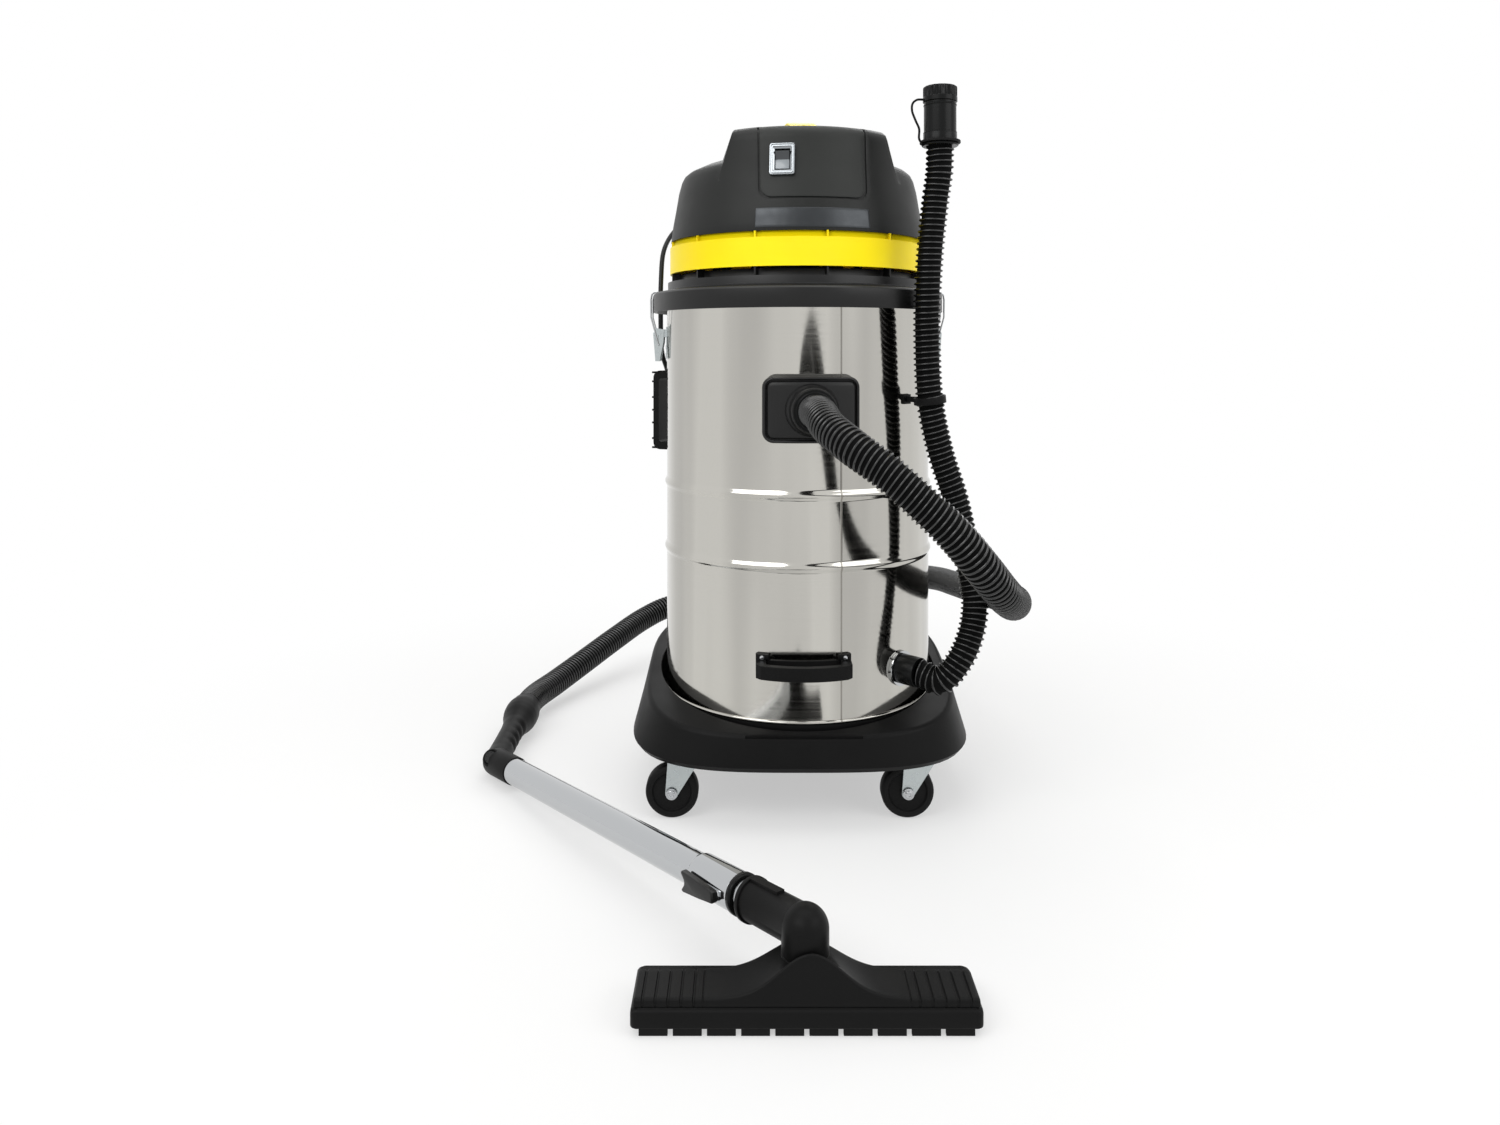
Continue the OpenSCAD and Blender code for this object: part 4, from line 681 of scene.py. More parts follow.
# Lens and sensor in millimetres, the shift of the frame, and in metres the camera's place and how far it sees
LENS, SENSOR, SHIFT, EYE, FAR_END = 25.2, 36.0, -0.1397, (-0.0744, -1.662, 0.659), 60
# Strength of the white air as a light, against 1 where it is seen
AIR_LIGHT = 0.53
FLOOR_RINGS = (1, 600, 1600, 9000)
# The floor lies this far under the wheels, in millimetres, so that the two don't flicker
FLOOR_DROP = 0.5
# Distances in metres between which the floor fades to plain white, and its share of white before that
FADE_START, FADE_END, NEAR_WHITE = 0.55, 1.35, 0.5
LIT_POINT = Vector((0, 0, 0.5))
# Name, place in metres, width, height and watts of each lamp
LAMPS = (("Key", (-1.8, -2.3, 2.5), 2.6, 1.3, 40.0), ("Fill", (2.3, -1.8, 2.0), 2.2, 1.3, 22.0),
         ("Rear", (0.4, 2.4, 2.6), 2.6, 1.4, 24.0), ("Top", (0.0, -0.4, 3.1), 3.2, 1.8, 28.0))


class VACUUM_OT_stage(bpy.types.Operator):
    """Make the floor, the studio light and the camera"""
    bl_idname = "vacuum.stage"
    bl_label = "Stage"

    def execute(self, context):
        scene = context.scene
        scene.view_settings.view_transform = "Standard"
        eye = bpy.data.cameras.new("Camera")
        eye.sensor_width = SENSOR
        eye.lens = LENS
        eye.shift_y = SHIFT
        eye.clip_end = FAR_END
        camera = added("Camera", eye)
        camera.location = EYE
        camera.rotation_euler = (math.pi / 2, 0, 0)
        scene.camera = camera

        world = bpy.data.worlds.new("Studio air")
        scene.world = world
        world.use_nodes = True
        tree = world.node_tree
        tree.nodes.clear()
        air, white = (put(tree, "ShaderNodeBackground", {"Color": (1, 1, 1, 1), "Strength": strength}).outputs[0]
                      for strength in (AIR_LIGHT, 1.0))
        both = put(tree, "ShaderNodeMixShader", {0: straight_rays(tree), 1: air, 2: white})
        put(tree, "ShaderNodeOutputWorld", {"Surface": both.outputs[0]})

        floor_mesh = bpy.data.meshes.new("Floor")
        verts, faces = lathe([(r, 0) for r in FLOOR_RINGS], 96)
        floor_mesh.from_pydata([tuple(v) for v in verts], [], faces)
        floor = added("Floor", floor_mesh)
        floor.location.z = -FLOOR_DROP * MM
        floor_mesh.materials.append(self.floor_paint())
        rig.stage(floor)

        for name, place, wide, high, power in LAMPS:
            lamp = bpy.data.lights.new(name, "AREA")
            lamp.shape = "RECTANGLE"
            lamp.size = wide
            lamp.size_y = high
            lamp.energy = power
            light = added(name, lamp)
            light.location = place
            light.rotation_euler = (LIT_POINT - Vector(place)).to_track_quat("-Z", "Y").to_euler()
        return {"FINISHED"}

    def floor_paint(self):
        """Matt white studio floor, which keeps the shadow near the object and is plain white far off."""
        material, tree, shader, place = fresh("studio_floor", linear("#f4f4f3"), 0.9)
        reach = put(tree, "ShaderNodeVectorMath", {0: place}, operation="LENGTH").outputs["Value"]
        far = ranged(tree, reach, NEAR_WHITE, 1.0, FADE_START, FADE_END, interpolation_type="SMOOTHSTEP")
        glow = put(tree, "ShaderNodeEmission", {"Color": (1, 1, 1, 1), "Strength": 1.0}).outputs[0]
        both = put(tree, "ShaderNodeMixShader", {0: calc(tree, "MULTIPLY", far, straight_rays(tree)),
                                                 1: shader.outputs[0], 2: glow})
        out = next(n for n in tree.nodes if n.type == "OUTPUT_MATERIAL")
        tree.links.new(both.outputs[0], out.inputs["Surface"])
        return material


class VACUUM_OT_finishes(bpy.types.Operator):
    """Make the materials of all pieces"""
    bl_idname = "vacuum.finishes"
    bl_label = "Finishes"

    def execute(self, context):
        FINISHES.clear()
        FINISHES.update(make_finishes())
        return {"FINISHED"}


def ribbed_hose(name, points, outer, pitch, depth, sides, rib):
    """A hose whose ribs wind round it as one screw; it stands for the CAD node of its name.

    outer is its radius in millimetres and rib holds the depth of each line of one rib."""
    step = 0.5 * MM
    fine = resample(points, step)
    ways = carried_sides(fine)
    total = step * (len(fine) - 1)
    rows = len(rib)
    first, last = -rows, (int(total / pitch) + 2) * rows
    verts, faces, along, groove = [], [], [], []
    for row in range(first, last):
        radius = outer * MM - depth * rib[row % rows]
        for k in range(sides):
            s = min(total, max(0.0, pitch * (row / rows + k / sides)))
            at = min(len(fine) - 2, int(s / step))
            turn = math.tau * k / sides
            verts.append(fine[at].lerp(fine[at + 1], s / step - at)
                         + radius * (math.cos(turn) * ways[at][0] + math.sin(turn) * ways[at][1]))
            along.append(s)
    for row in range(last - first - rows - 1):
        for k in range(sides):
            # The last side joins the first one of the next rib.
            a = row * sides + k + 1 if k + 1 < sides else (row + rows) * sides
            face = (row * sides + k, a, a + sides, (row + 1) * sides + k)
            if min(along[i] for i in face) < max(along[i] for i in face):
                faces.append(face)
                # Faces in the groove take the second finish, vinyl painted darker as shade.
                groove.append(int(rib[(first + row) % rows] + rib[(first + row + 1) % rows] > IN_GROOVE))
    used = sorted({i for face in faces for i in face})
    place = {i: n for n, i in enumerate(used)}
    hose = [verts[i] for i in used], [tuple(place[i] for i in face) for face in faces]
    return piece(name, hose, "vinyl_hose", "vacuum", "black_hose", replaces=(name.lower(),),
                 second="vinyl_groove", parts=groove)


class VACUUM_OT_suction_hose(bpy.types.Operator):
    """Make the ribbed suction hose"""
    bl_idname = "vacuum.suction_hose"
    bl_label = "Suction hose"

    def execute(self, context):
        s = context.scene.vacuum_sizes
        points = smooth_route(SUCTION_ROUTE, 2 * MM)
        hose = ribbed_hose("Suction_hose", points, SUCTION_R, s.suction_pitch, s.suction_depth, 28, SUCTION_RIB)
        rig.cord(hose, exit=tuple(points[0]), length=round(route_length(points), 3), diameter=0.046,
                far_end="object", stiffness="stiff", lay="loose",
                path=[tuple(p) for p in resample(points, 12 * MM)])
        return {"FINISHED"}


class VACUUM_OT_drain_hose(bpy.types.Operator):
    """Make the ribbed drain hose"""
    bl_idname = "vacuum.drain_hose"
    bl_label = "Drain hose"

    def execute(self, context):
        s = context.scene.vacuum_sizes
        points = smooth_route(DRAIN_ROUTE, 2 * MM)
        hose = ribbed_hose("Drain_hose", points, DRAIN_R, s.drain_pitch, s.drain_depth, 36, DRAIN_RIB)
        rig.cord(hose, exit=tuple(points[0]), length=round(route_length(points), 3), diameter=0.040,
                far_end="connector", stiffness="stiff", lay="taut",
                path=[tuple(p) for p in resample(points, 12 * MM)],
                with_pieces=[bpy.data.objects[n] for n in ("Drain_connector", "Drain_cap", "Cap_leash")])
        return {"FINISHED"}


def lead_points(step):
    """The lead from its gland to the floor, round its coil and out to the plug."""
    start = math.radians(COIL_START)
    coil = []
    for (radius, z), (next_radius, next_z) in zip(COIL_TURNS, COIL_TURNS[1:]):
        for k in range(COIL_STEPS):
            over = max(0.0, (k / COIL_STEPS - (1 - OVER)) / OVER)
            over = over * over * (3 - 2 * over)
            coil.append((radius + (next_radius - radius) * over, start + math.tau * k / COIL_STEPS,
                         z + (next_z - z) * over))
    radius, z = COIL_TURNS[-1]
    coil += [(radius, start * (1 - k / 9), z) for k in range(10)]
    route = [(COIL_AT[0] + r * math.cos(turn), COIL_AT[1] + r * math.sin(turn), z) for r, turn, z in coil[1:]]
    route += [(PLUG_START[0], y, PLUG_START[2]) for y in (384, 398, PLUG_START[1])]
    return resample(smooth_route(LEAD_ROUTE, step) + metres(route), step)


class VACUUM_OT_mains_lead(bpy.types.Operator):
    """Make the mains lead with its coil and the strap that holds the coil"""
    bl_idname = "vacuum.mains_lead"
    bl_label = "Mains lead"

    def execute(self, context):
        points = lead_points(6 * MM)
        curve = bpy.data.curves.new("Mains_lead", "CURVE")
        curve.dimensions = "3D"
        curve.bevel_depth = LEAD_R * MM
        curve.bevel_resolution = 3
        curve.resolution_u = 2
        curve.use_fill_caps = True
        spline = curve.splines.new("POLY")
        spline.points.add(len(points) - 1)
        for point, at in zip(spline.points, points):
            point.co = (*at, 1.0)
        spline.use_smooth = True
        lead = added("Mains_lead", curve)
        curve.materials.append(FINISHES["vinyl_sheath"])
        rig.ride(lead, "vacuum")
        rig.slot(lead, "black_rubber")
        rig.replaces(lead, "mains_lead", "lead_coil")

        # Strap round the coil's turns, thin where the coil lies on it
        inner = [(x, z + 14.8) for x, z in round_rect(35.0, 29.0, 9.0)]
        outer = [(x, z + 15.3) for x, z in round_rect(37.4, 30.5, 10.0)]
        rings = [metres((x, side * STRAP_HALF, z) for x, z in outline)
                 for outline, side in ((inner, -1), (inner, 1), (outer, 1), (outer, -1))]
        at = Matrix.Translation((STRAP_X * MM, COIL_AT[1] * MM, 0))
        strap = piece("Lead_strap", moved(skin(rings, wrap=True), at), "moulded_rubber", "vacuum",
                      "black_rubber", sharp=40)
        total = route_length(points)
        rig.cord(lead, exit=tuple(points[0]), length=round(total, 2), diameter=0.008, far_end="plug",
                stiffness="medium", lay="coiled", with_pieces=[NODES["mains_plug"], NODES["cord_gland"], strap])
        return {"FINISHED"}


# ---- Inlet plate, connector and cap ----

DRUM_SKIN, INLET_TURN, INLET_Z = 205.15, 3.0, 580.0
INLET_W, INLET_H, INLET_CORNER, INLET_BORE, COLLAR_END = 136.0, 92.0, 15, 52.0, 250.0
CONNECTOR_AT, CONNECTOR_R, CONNECTOR_H = (193, -185, 950), 23.5, 61.0
HOSE_BORE = 17
FLUTES, FLUTE_RISE, FLUTE_DEPTH, CAP_SIDES = 18, 0.7, 1.9, 144
# The leash's radius, and the heights over the connector's foot below which it stays with the connector
# and above which it goes with the cap
LEASH_R, LEASH_STAYS, LEASH_LIFTS = 1.6, 26, 63


class VACUUM_OT_inlet_plate(bpy.types.Operator):
    """Make the inlet's plate, with its border, its pillowed face and its collar"""
    bl_idname = "vacuum.inlet_plate"
    bl_label = "Inlet plate"

    def execute(self, context):
        # Distance in from the edge and height above the drum of each line
        lines = [(0, 0.0), (0, 7.2), (0.5, 9.4), (1.6, 10.7), (2.9, 10.9), (4.0, 10.2), (4.6, 8.8), (4.9, 6.6),
                 (5.9, 6.6), (6.3, 8.2), (7.4, 9.6), (9.6, 10.6), (13, 11.0), (20, 11.2), (30, 11.3), (38, 11.3),
                 (44.5, 11.3)]
        rings = []
        for inset, rise in lines:
            corner = max(INLET_CORNER - inset, 1.2)
            outline = round_rect(INLET_W - 2 * inset, INLET_H - 2 * inset, corner, 6, 16, 10)
            reach = DRUM_SKIN + rise
            rings.append(metres((x, -math.sqrt(reach * reach - x * x), z) for x, z in outline))
        bore = INLET_BORE / 2
        collar = lathe([(bore + 12, 212), (bore + 10.5, 216.6), (bore + 8.6, 219.6), (bore + 6.6, 222.2),
                        (bore + 5.6, 226), (bore + 5.5, COLLAR_END - 1.2), (bore + 4.6, COLLAR_END),
                        (bore + 0.6, COLLAR_END), (bore, COLLAR_END - 0.6), (bore, 190)],
                       72, Matrix.Rotation(math.pi / 2, 4, "X"))
        plate = moved(joined(skin(rings, last=True), collar), turned(INLET_TURN, INLET_Z))
        piece("Inlet_plate", plate, "satin_black_polypropylene", "vacuum", "black_plastic",
              replaces=("inlet_plate",), sharp=38)
        return {"FINISHED"}


class VACUUM_OT_connector(bpy.types.Operator):
    """Make the drain hose's connector and its fluted screw cap"""
    bl_idname = "vacuum.connector"
    bl_label = "Drain connector and cap"

    def execute(self, context):
        at = Matrix.Translation(Vector(CONNECTOR_AT) * MM)
        r, h = CONNECTOR_R, CONNECTOR_H
        barrel = lathe([(HOSE_BORE, -0.4), (r + 1, -0.6), (r + 2.0, 0.2), (r + 2.4, 1.4), (r + 2.0, 2.6),
                        (r + 0.9, 3.3), (r - 1.4, 3.6), (r - 1.4, 4.6), (r - 0.6, 5.4), (r, 5.7), (r, 16.2),
                        (r - 0.2, 16.6), (r - 0.2, 17.2), (r, 17.5), (r, 18.6), (r - 0.8, 19.2), (r - 0.9, 55.4),
                        (r - 0.4, 55.9), (r - 0.2, 57.1), (r - 0.6, 57.8), (r - 1.0, 58.2), (r - 1.0, h - 0.4),
                        (r - 1.6, h), (r - 3, h), (r - 3, h + 16), (HOSE_BORE, h + 16), (HOSE_BORE, -0.4)], 80, at)
        piece("Drain_connector", barrel, "gloss_abs", "vacuum", "gloss_black_plastic",
              replaces=("drain_connector",), sharp=32)

        # Fluted skirt over a plain band, below a rimmed top: radius, height and share of the flutes' depth
        profile = [(20.8, 0.4, 0), (23.6, 0.3, 0), (24.1, 0.8, 0), (24.1, 6.4, 0), (23.6, 6.9, 0), (23.3, 7.3, 0.4),
                   (23.3, 8.6, 1), (23.3, 19.0, 1), (23.2, 20.6, 0.7), (22.7, 21.5, 0.2), (21.8, 21.7, 0),
                   (20.9, 21.4, 0), (20.4, 20.4, 0), (18, 20.3, 0), (0.2, 20.3, 0)]
        rings = []
        for radius, z, depth in profile:
            ring = []
            for k in range(CAP_SIDES):
                turn = math.tau * k / CAP_SIDES
                hollow = 0.5 - 0.5 * math.cos(FLUTES * turn)
                reach = radius + FLUTE_RISE * depth - FLUTE_DEPTH * depth * hollow ** 2
                ring.append((reach * math.cos(turn), reach * math.sin(turn), z + h))
            rings.append(metres(ring))
        piece("Drain_cap", moved(skin(rings, last=True), at), "gloss_abs", "drain_cap", "gloss_black_plastic",
              replaces=("drain_cap",), sharp=32)
        return {"FINISHED"}


class VACUUM_OT_leash(bpy.types.Operator):
    """Make the strap that ties the cap to its connector, and that stretches when the cap lifts"""
    bl_idname = "vacuum.leash"
    bl_label = "Cap leash"

    def execute(self, context):
        inner, out = CONNECTOR_R + 0.4, CONNECTOR_R + 5
        loop = lathe([(inner, 3.3), (out - 0.5, 3.3), (out, 3.8), (out, 6.4), (out - 0.5, 6.9), (inner, 6.9)],
                     64, close=True)
        route = smooth_route([(x - out, 0, z) for x, z in (
            (2, 5), (-1, 10), (-1, 24), (-6, 36), (-11, 50), (-10, 60), (-4, 65), (4.6, 65.4))], 1.5 * MM)
        outline = arc((0, 0), LEASH_R * MM, 0, 330, 11)
        strap = skin([[point + a * u + b * v for a, b in outline]
                      for point, (u, v) in zip(route, carried_sides(route))], first=True, last=True)
        x, y, z = place = Vector(CONNECTOR_AT) * MM
        leash = piece("Cap_leash", moved(joined(loop, strap), Matrix.Translation(place)), "moulded_rubber", None,
                      "black_rubber", replaces=("drain_leash",), sharp=32)
        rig.blend(leash, "vacuum", "drain_cap", start=(x, y, z + LEASH_STAYS * MM),
                 end=(x, y, z + LEASH_LIFTS * MM))
        return {"FINISHED"}


# ---- Drum ----

DRUM_R, SEAT_Z, RIM_Z, WALL = 205.0, 143.0, 740.0, 1.2
BEADS, BEAD_W = (360.0, 460.0), 18
# Half the width of the wall's weld, over which it is plain, and its place in degrees; it fades over as much again
WELD_HALF, WELD_TURN = 0.8, 15
# The inner floor's height, its flat radius and how far its corner reaches in from the wall
DEEP_Z, FLAT_R, CORNER = SEAT_Z + 12, 150, 6


class VACUUM_OT_drum(bpy.types.Operator):
    """Make the polished drum with its rolled rims and two beads"""
    bl_idname = "vacuum.drum"
    bl_label = "Drum"

    def execute(self, context):
        s = context.scene.vacuum_sizes
        rise, roll = s.bead_rise / MM, s.rim_roll / MM
        inner = DRUM_R - WALL

        def side(radius):
            line = [(radius, SEAT_Z + 7)]
            for z in BEADS:
                line += [(radius + rise * (1 - math.cos(math.radians(15 * i))) / 2, z + BEAD_W * (i / 24 - 0.5))
                         for i in range(25)]
            return line + [(radius, RIM_Z - 2 * roll - 3)]

        foot = arc((DRUM_R, SEAT_Z + 2.5), 2.5, -90, 90, 10)
        rim = arc((DRUM_R + 5 - roll, RIM_Z - 0.2 - roll), roll, -90, 90, 12)
        profile = [(0.01, DEEP_Z), (FLAT_R, DEEP_Z), (inner - CORNER, DEEP_Z + 1), (inner, DEEP_Z - 5),
                   (inner, SEAT_Z), *foot, *side(DRUM_R), *rim, *reversed(side(inner)), (inner, DEEP_Z + 8),
                   (inner - CORNER, DEEP_Z + 1 + WALL), (FLAT_R, DEEP_Z + WALL), (0.01, DEEP_Z + WALL)]
        piece("Drum_shell", lathe(profile, 256), "polished_stainless_sheet", "vacuum", "polished_steel",
              replaces=("drum",), sharp=50)
        return {"FINISHED"}


# ---- Floor tool and grip ----

SWIVEL = (-19.481, -617.537)
TOOL_W, TOOL_FRONT, TOOL_BACK = 342.0, -34.5, 42.5
PAD_TOP, DUCT_TOP, PAD_PITCH, PAD_SEAM = 35.8, 62.9, 12.4, 100.5
# Depths of a groove between the pads and of the seam beside them, and the height of the shell's lower edge
GROOVE, SEAM, EDGE_Z = 1.5, 0.9, 28.6


def tool_ring(x, pull, cut):
    """Outline of the floor tool's shell in depth and height at one place along it.

    pull is how far the outline draws in towards the tool's ends; cut is the depth of a groove there."""
    ridge = PAD_TOP + 41.0 * math.exp(-(((x - 5) / 43.0) ** 2)) - pull - cut
    tail = min(PAD_TOP + 32.0 * math.exp(-((x / 46.4) ** 2)), DUCT_TOP - 0.9) - pull - cut
    middle = math.exp(-((x / 50.0) ** 2))
    lean, r = 3.6 * middle, 3.2 - 1.0 * middle
    front, rear = TOOL_FRONT + 2.2 + pull * 0.6 + cut * 0.4, TOOL_FRONT + 54 - pull
    ring = [(front + 1.8, 27.0), (front, EDGE_Z)]
    ring += [(front + lean * t, EDGE_Z + (ridge - r - EDGE_Z) * t) for t in (0.3, 0.6, 0.85, 1.0)]
    ring += [(front + lean + r * (1 - math.cos(a)), ridge - r + r * math.sin(a))
             for a in map(math.radians, (22, 45, 68, 90))]
    crest = ring[-1][0]
    for t in (0.05, 0.14, 0.3, 0.5, 0.7, 0.86, 0.95):
        # The flare is hollow behind its ridge and stays under the duct's rim.
        low = (ridge - tail) * 0.3 * math.sin(math.pi * t)
        ring.append((crest + (rear - 1.5 - crest) * t, min(ridge + (tail - ridge) * t - low, DUCT_TOP - 0.6)))
    ring += [(rear - 0.5, tail - 0.5), (rear, tail - 1.8), (rear, 27.0)]
    return metres((x, y, z) for y, z in ring)


class VACUUM_OT_floor_tool(bpy.types.Operator):
    """Make the floor tool's shell, with its grooved pads, and its base plate"""
    bl_idname = "vacuum.floor_tool"
    bl_label = "Floor tool"

    def execute(self, context):
        half = TOOL_W / 2

        # Shell: places along the tool, closer together where its ends, grooves and seams are
        grooves = [side * (half - 12 - PAD_PITCH * k) for side in (-1, 1) for k in range(5)]
        seams = [-PAD_SEAM, PAD_SEAM]
        stations = [side * (half - 3 - d) for side in (-1, 1) for d in (0.0, 0.3, 0.9, 1.9, 3.2)]
        stations += [g + d for g in grooves for d in (-1.4, -0.7, 0.7, 1.4)]
        stations += [e + d for e in seams for d in (-0.9, -0.35, 0.35, 0.9)]
        stations += [(PAD_SEAM - 2) * (2 * i / 60 - 1) for i in range(61)]
        rings = []
        for x in sorted(stations):
            cut = (GROOVE if any(abs(x - g) < 0.8 for g in grooves)
                   else SEAM if any(abs(x - e) < 0.5 for e in seams) else 0.0)
            end = min(1.0, max(0.0, abs(x) - (half - 6.2)) / 3.2)
            rings.append(tool_ring(x, 2.8 * (1 - math.sqrt(1 - end * end)), cut))
        shell = skin(rings, first=True, last=True)

        # Base plate: a shallow tray that is open below, with a bead along its front
        deep = TOOL_BACK - TOOL_FRONT
        middle = (TOOL_FRONT + TOOL_BACK) / 2
        levels = [(-11.0, 20.0), (-11.0, 8.6), (-10.4, 8.0), (-1.0, 8.0), (-0.2, 8.8), (0.0, 10.0), (0.0, 21.5),
                  (-0.3, 22.6), (-0.3, 23.6), (-1.4, 25.2), (-3.0, 26.0), (-3.6, 27.0), (-20.0, 27.0)]
        tray = skin([metres((x * (1 + 2 * inset / TOOL_W), middle + y * (1 + 2 * inset / deep), z)
                            for x, y in round_rect(TOOL_W, deep, 6, 6)) for inset, z in levels],
                    first=True, last=True)

        # Duct that takes the neck
        duct = lathe([(20.0, 45), (20.0, DUCT_TOP - 0.5), (20.4, DUCT_TOP), (23.8, DUCT_TOP),
                      (24.4, DUCT_TOP - 0.7), (24.4, 28)], 72)
        at = Matrix.Translation((SWIVEL[0] * MM, SWIVEL[1] * MM, 0))
        piece("Tool_shell", moved(joined(shell, tray, duct), at), "black_polypropylene", "floor_tool",
              "black_plastic", replaces=("tool_body",), sharp=40)
        return {"FINISHED"}


ELBOW, GRIP_BALL, HOSE_END = (-470, -24, 22), (-469, 156, 35), (-469, 190, 35)
WAND_TURN, WAND_TILT, WAND_ARM = -52.8, 5.0, 70.0
GRIP_SIDES, FINGER_GROOVES, FINGER_W, FINGER_DEPTH = 48, (46, 68, 90, 112), 6.5, 3.6
# Lathed pieces stand on Z; this lays them along X.
LAID = Matrix.Rotation(math.pi / 2, 4, "Y")


def wand_place():
    """Matrix with local X from the elbow along the wand."""
    return (Matrix.Translation(Vector(ELBOW) * MM) @ Matrix.Rotation(math.radians(WAND_TURN), 4, "Z")
            @ Matrix.Rotation(math.radians(-WAND_TILT), 4, "Y"))


class VACUUM_OT_hose_grip(bpy.types.Operator):
    """Make the bent grip with its ball cuff and finger grooves"""
    bl_idname = "vacuum.hose_grip"
    bl_label = "Hose grip"

    def execute(self, context):
        elbow, ball, end = metres((ELBOW, GRIP_BALL, HOSE_END))
        # Radius along the grip, measured from the elbow towards the hose
        line = [(-16, 12), (-12, 17), (-5, 20.4), (6, 20.2), (22, 19), (60, 18.6), (104, 18.8), (128, 20.5),
                (142, 23.5), (154, 26.8), (166, 28.7), (178, 28.95), (188, 28.6), (198, 26.7), (207, 25.4),
                (214, 25.2), (214.4, 24.6), (214.4, 21)]
        stations = []
        for (s0, r0), (s1, r1) in zip(line, line[1:]):
            steps = max(1, int(abs(s1 - s0) / 1.6))
            stations += [(s0 + (s1 - s0) * i / steps, r0 + (r1 - r0) * i / steps) for i in range(steps)]
        stations.append(line[-1])
        radii = [r for _, r in stations]
        for _ in range(3):
            radii = [radii[0]] + [(radii[i - 1] + 2 * radii[i] + radii[i + 1]) / 4
                                  for i in range(1, len(radii) - 1)] + [radii[-1]]
        axis = (ball - elbow).normalized()
        reach = (ball - elbow).length / MM
        u = (Vector((0, 0, 1)) - axis * axis.z).normalized()
        v = axis.cross(u)
        fingers = Vector((1, -0.25, 0.1)).normalized()
        rings = []
        for (s, _), radius in zip(stations, radii):
            centre = elbow + axis * min(s, reach) * MM
            if s > reach:
                centre += (end - ball).normalized() * (s - reach) * MM
            depth = FINGER_DEPTH * sum(math.exp(-(((s - g) / FINGER_W) ** 2)) for g in FINGER_GROOVES)
            ring = []
            for k in range(GRIP_SIDES):
                turn = math.tau * k / GRIP_SIDES
                way = math.cos(turn) * u + math.sin(turn) * v
                ring.append(centre + way * (radius - depth * max(0.0, way.dot(fingers)) ** 1.5) * MM)
            rings.append(ring)

        arm = lathe([(r, x) for x, r in (
            (-14, 8), (-10, 15), (-4, 19.5), (4, 20.8), (20, 20.6), (WAND_ARM - 1.2, 20.4), (WAND_ARM - 0.3, 20.1),
            (WAND_ARM, 19.4), (WAND_ARM, 17.4), (WAND_ARM + 30, 17.4), (WAND_ARM + 30, 15.4), (WAND_ARM, 15.4))],
            GRIP_SIDES, wand_place() @ LAID)
        # Collar round the air regulator
        at = (Matrix.Translation(elbow) @ Matrix.Rotation(math.radians(-105), 4, "Z")
              @ Matrix.Rotation(math.radians(55), 4, "Y"))
        well = lathe([(9.9, 15), (9.9, 21.6), (10.5, 22.6), (11.6, 22.9), (12.8, 22.2), (14.2, 19.6), (15.2, 15)],
                     40, at)
        piece("Bent_grip", joined(skin(rings, first=True), arm, well), "black_polypropylene", "vacuum",
              "grip_plastic", replaces=("hose_grip",), sharp=55)
        return {"FINISHED"}


# ---- Wand, axle ends and head plate ----

LOCK_START, LOCK_END, TUBE_R, LOCK_R, TUBE_BORE = 566.0, 642.0, 19.0, 21.5, 17.65
BUTTON_X, SEAT_X = 600, 601
# The head plate's edges in degrees round the drum and in millimetres of height, and its thickness
PLATE_FROM, PLATE_TO, PLATE_FOOT, PLATE_TOP, PLATE_RISE = -20.0, 29.0, 835.0, 863.0, 0.9
DEGREE = 3.5
FORK_FACE = 19.0


class VACUUM_OT_wand(bpy.types.Operator):
    """Make the wand's outer tube with its swaged end, its lock ring and its fishtail button"""
    bl_idname = "vacuum.wand"
    bl_label = "Wand"

    def execute(self, context):
        wand = wand_place()
        swage = [(TUBE_R + (LOCK_R - TUBE_R) * (1 - math.cos(math.pi * k / 8)) / 2, LOCK_START - 3 + k)
                 for k in range(9)]
        tube = lathe([(TUBE_BORE, WAND_ARM), (TUBE_R - 0.4, WAND_ARM), (TUBE_R, WAND_ARM + 0.5), *swage,
                      (LOCK_R, LOCK_END - 1), (LOCK_R - 0.6, LOCK_END), (TUBE_BORE, LOCK_END),
                      (TUBE_BORE, WAND_ARM)], 96, wand @ LAID)
        seat = skin([metres((x + SEAT_X, y, z) for x, z in round_rect(60 - 2 * inset, 12 - 2 * inset, 3))
                     for inset, y in ((0, -18.5), (0, -22.8), (0.6, -23.4))], last=True)
        piece("Wand_tube", joined(tube, moved(seat, wand)), "chromed_steel", "vacuum", "chromed_tube",
              replaces=("wand_outer_tube",), sharp=30)
        ring = lathe([(TUBE_BORE, 641.6), (21.9, 641.6), (22.4, 642.4), (22.5, 646.6), (22.0, 648.2), (20.8, 649),
                      (18.3, 649.2), (TUBE_BORE, 648.6), (TUBE_BORE, 641.6)], 96, wand @ LAID)
        piece("Lock_ring", ring, "gloss_abs", "vacuum", "black_plastic", replaces=("wand_sleeve",), sharp=40)
        half = [(29, 5.0), (27.6, 6.4), (0, 9.2), (-29, 11.2), (-31, 10.6), (-31.6, 9.4), (-26.4, 3.4)]
        tail = [*half, (-25.4, 0.0), *((x, -z) for x, z in reversed(half))]
        button = skin([metres((BUTTON_X + x * k, y, z * k) for x, z in tail)
                       for k, y in ((1.0, -23.6), (1.0, -28.4), (0.985, -29.5), (0.95, -30.3), (0.88, -30.6))],
                      first=True, last=True)
        piece("Lock_button", moved(button, wand), "satin_black_polypropylene", "wand_button", "black_plastic",
              replaces=("wand_button",), sharp=40)
        return {"FINISHED"}


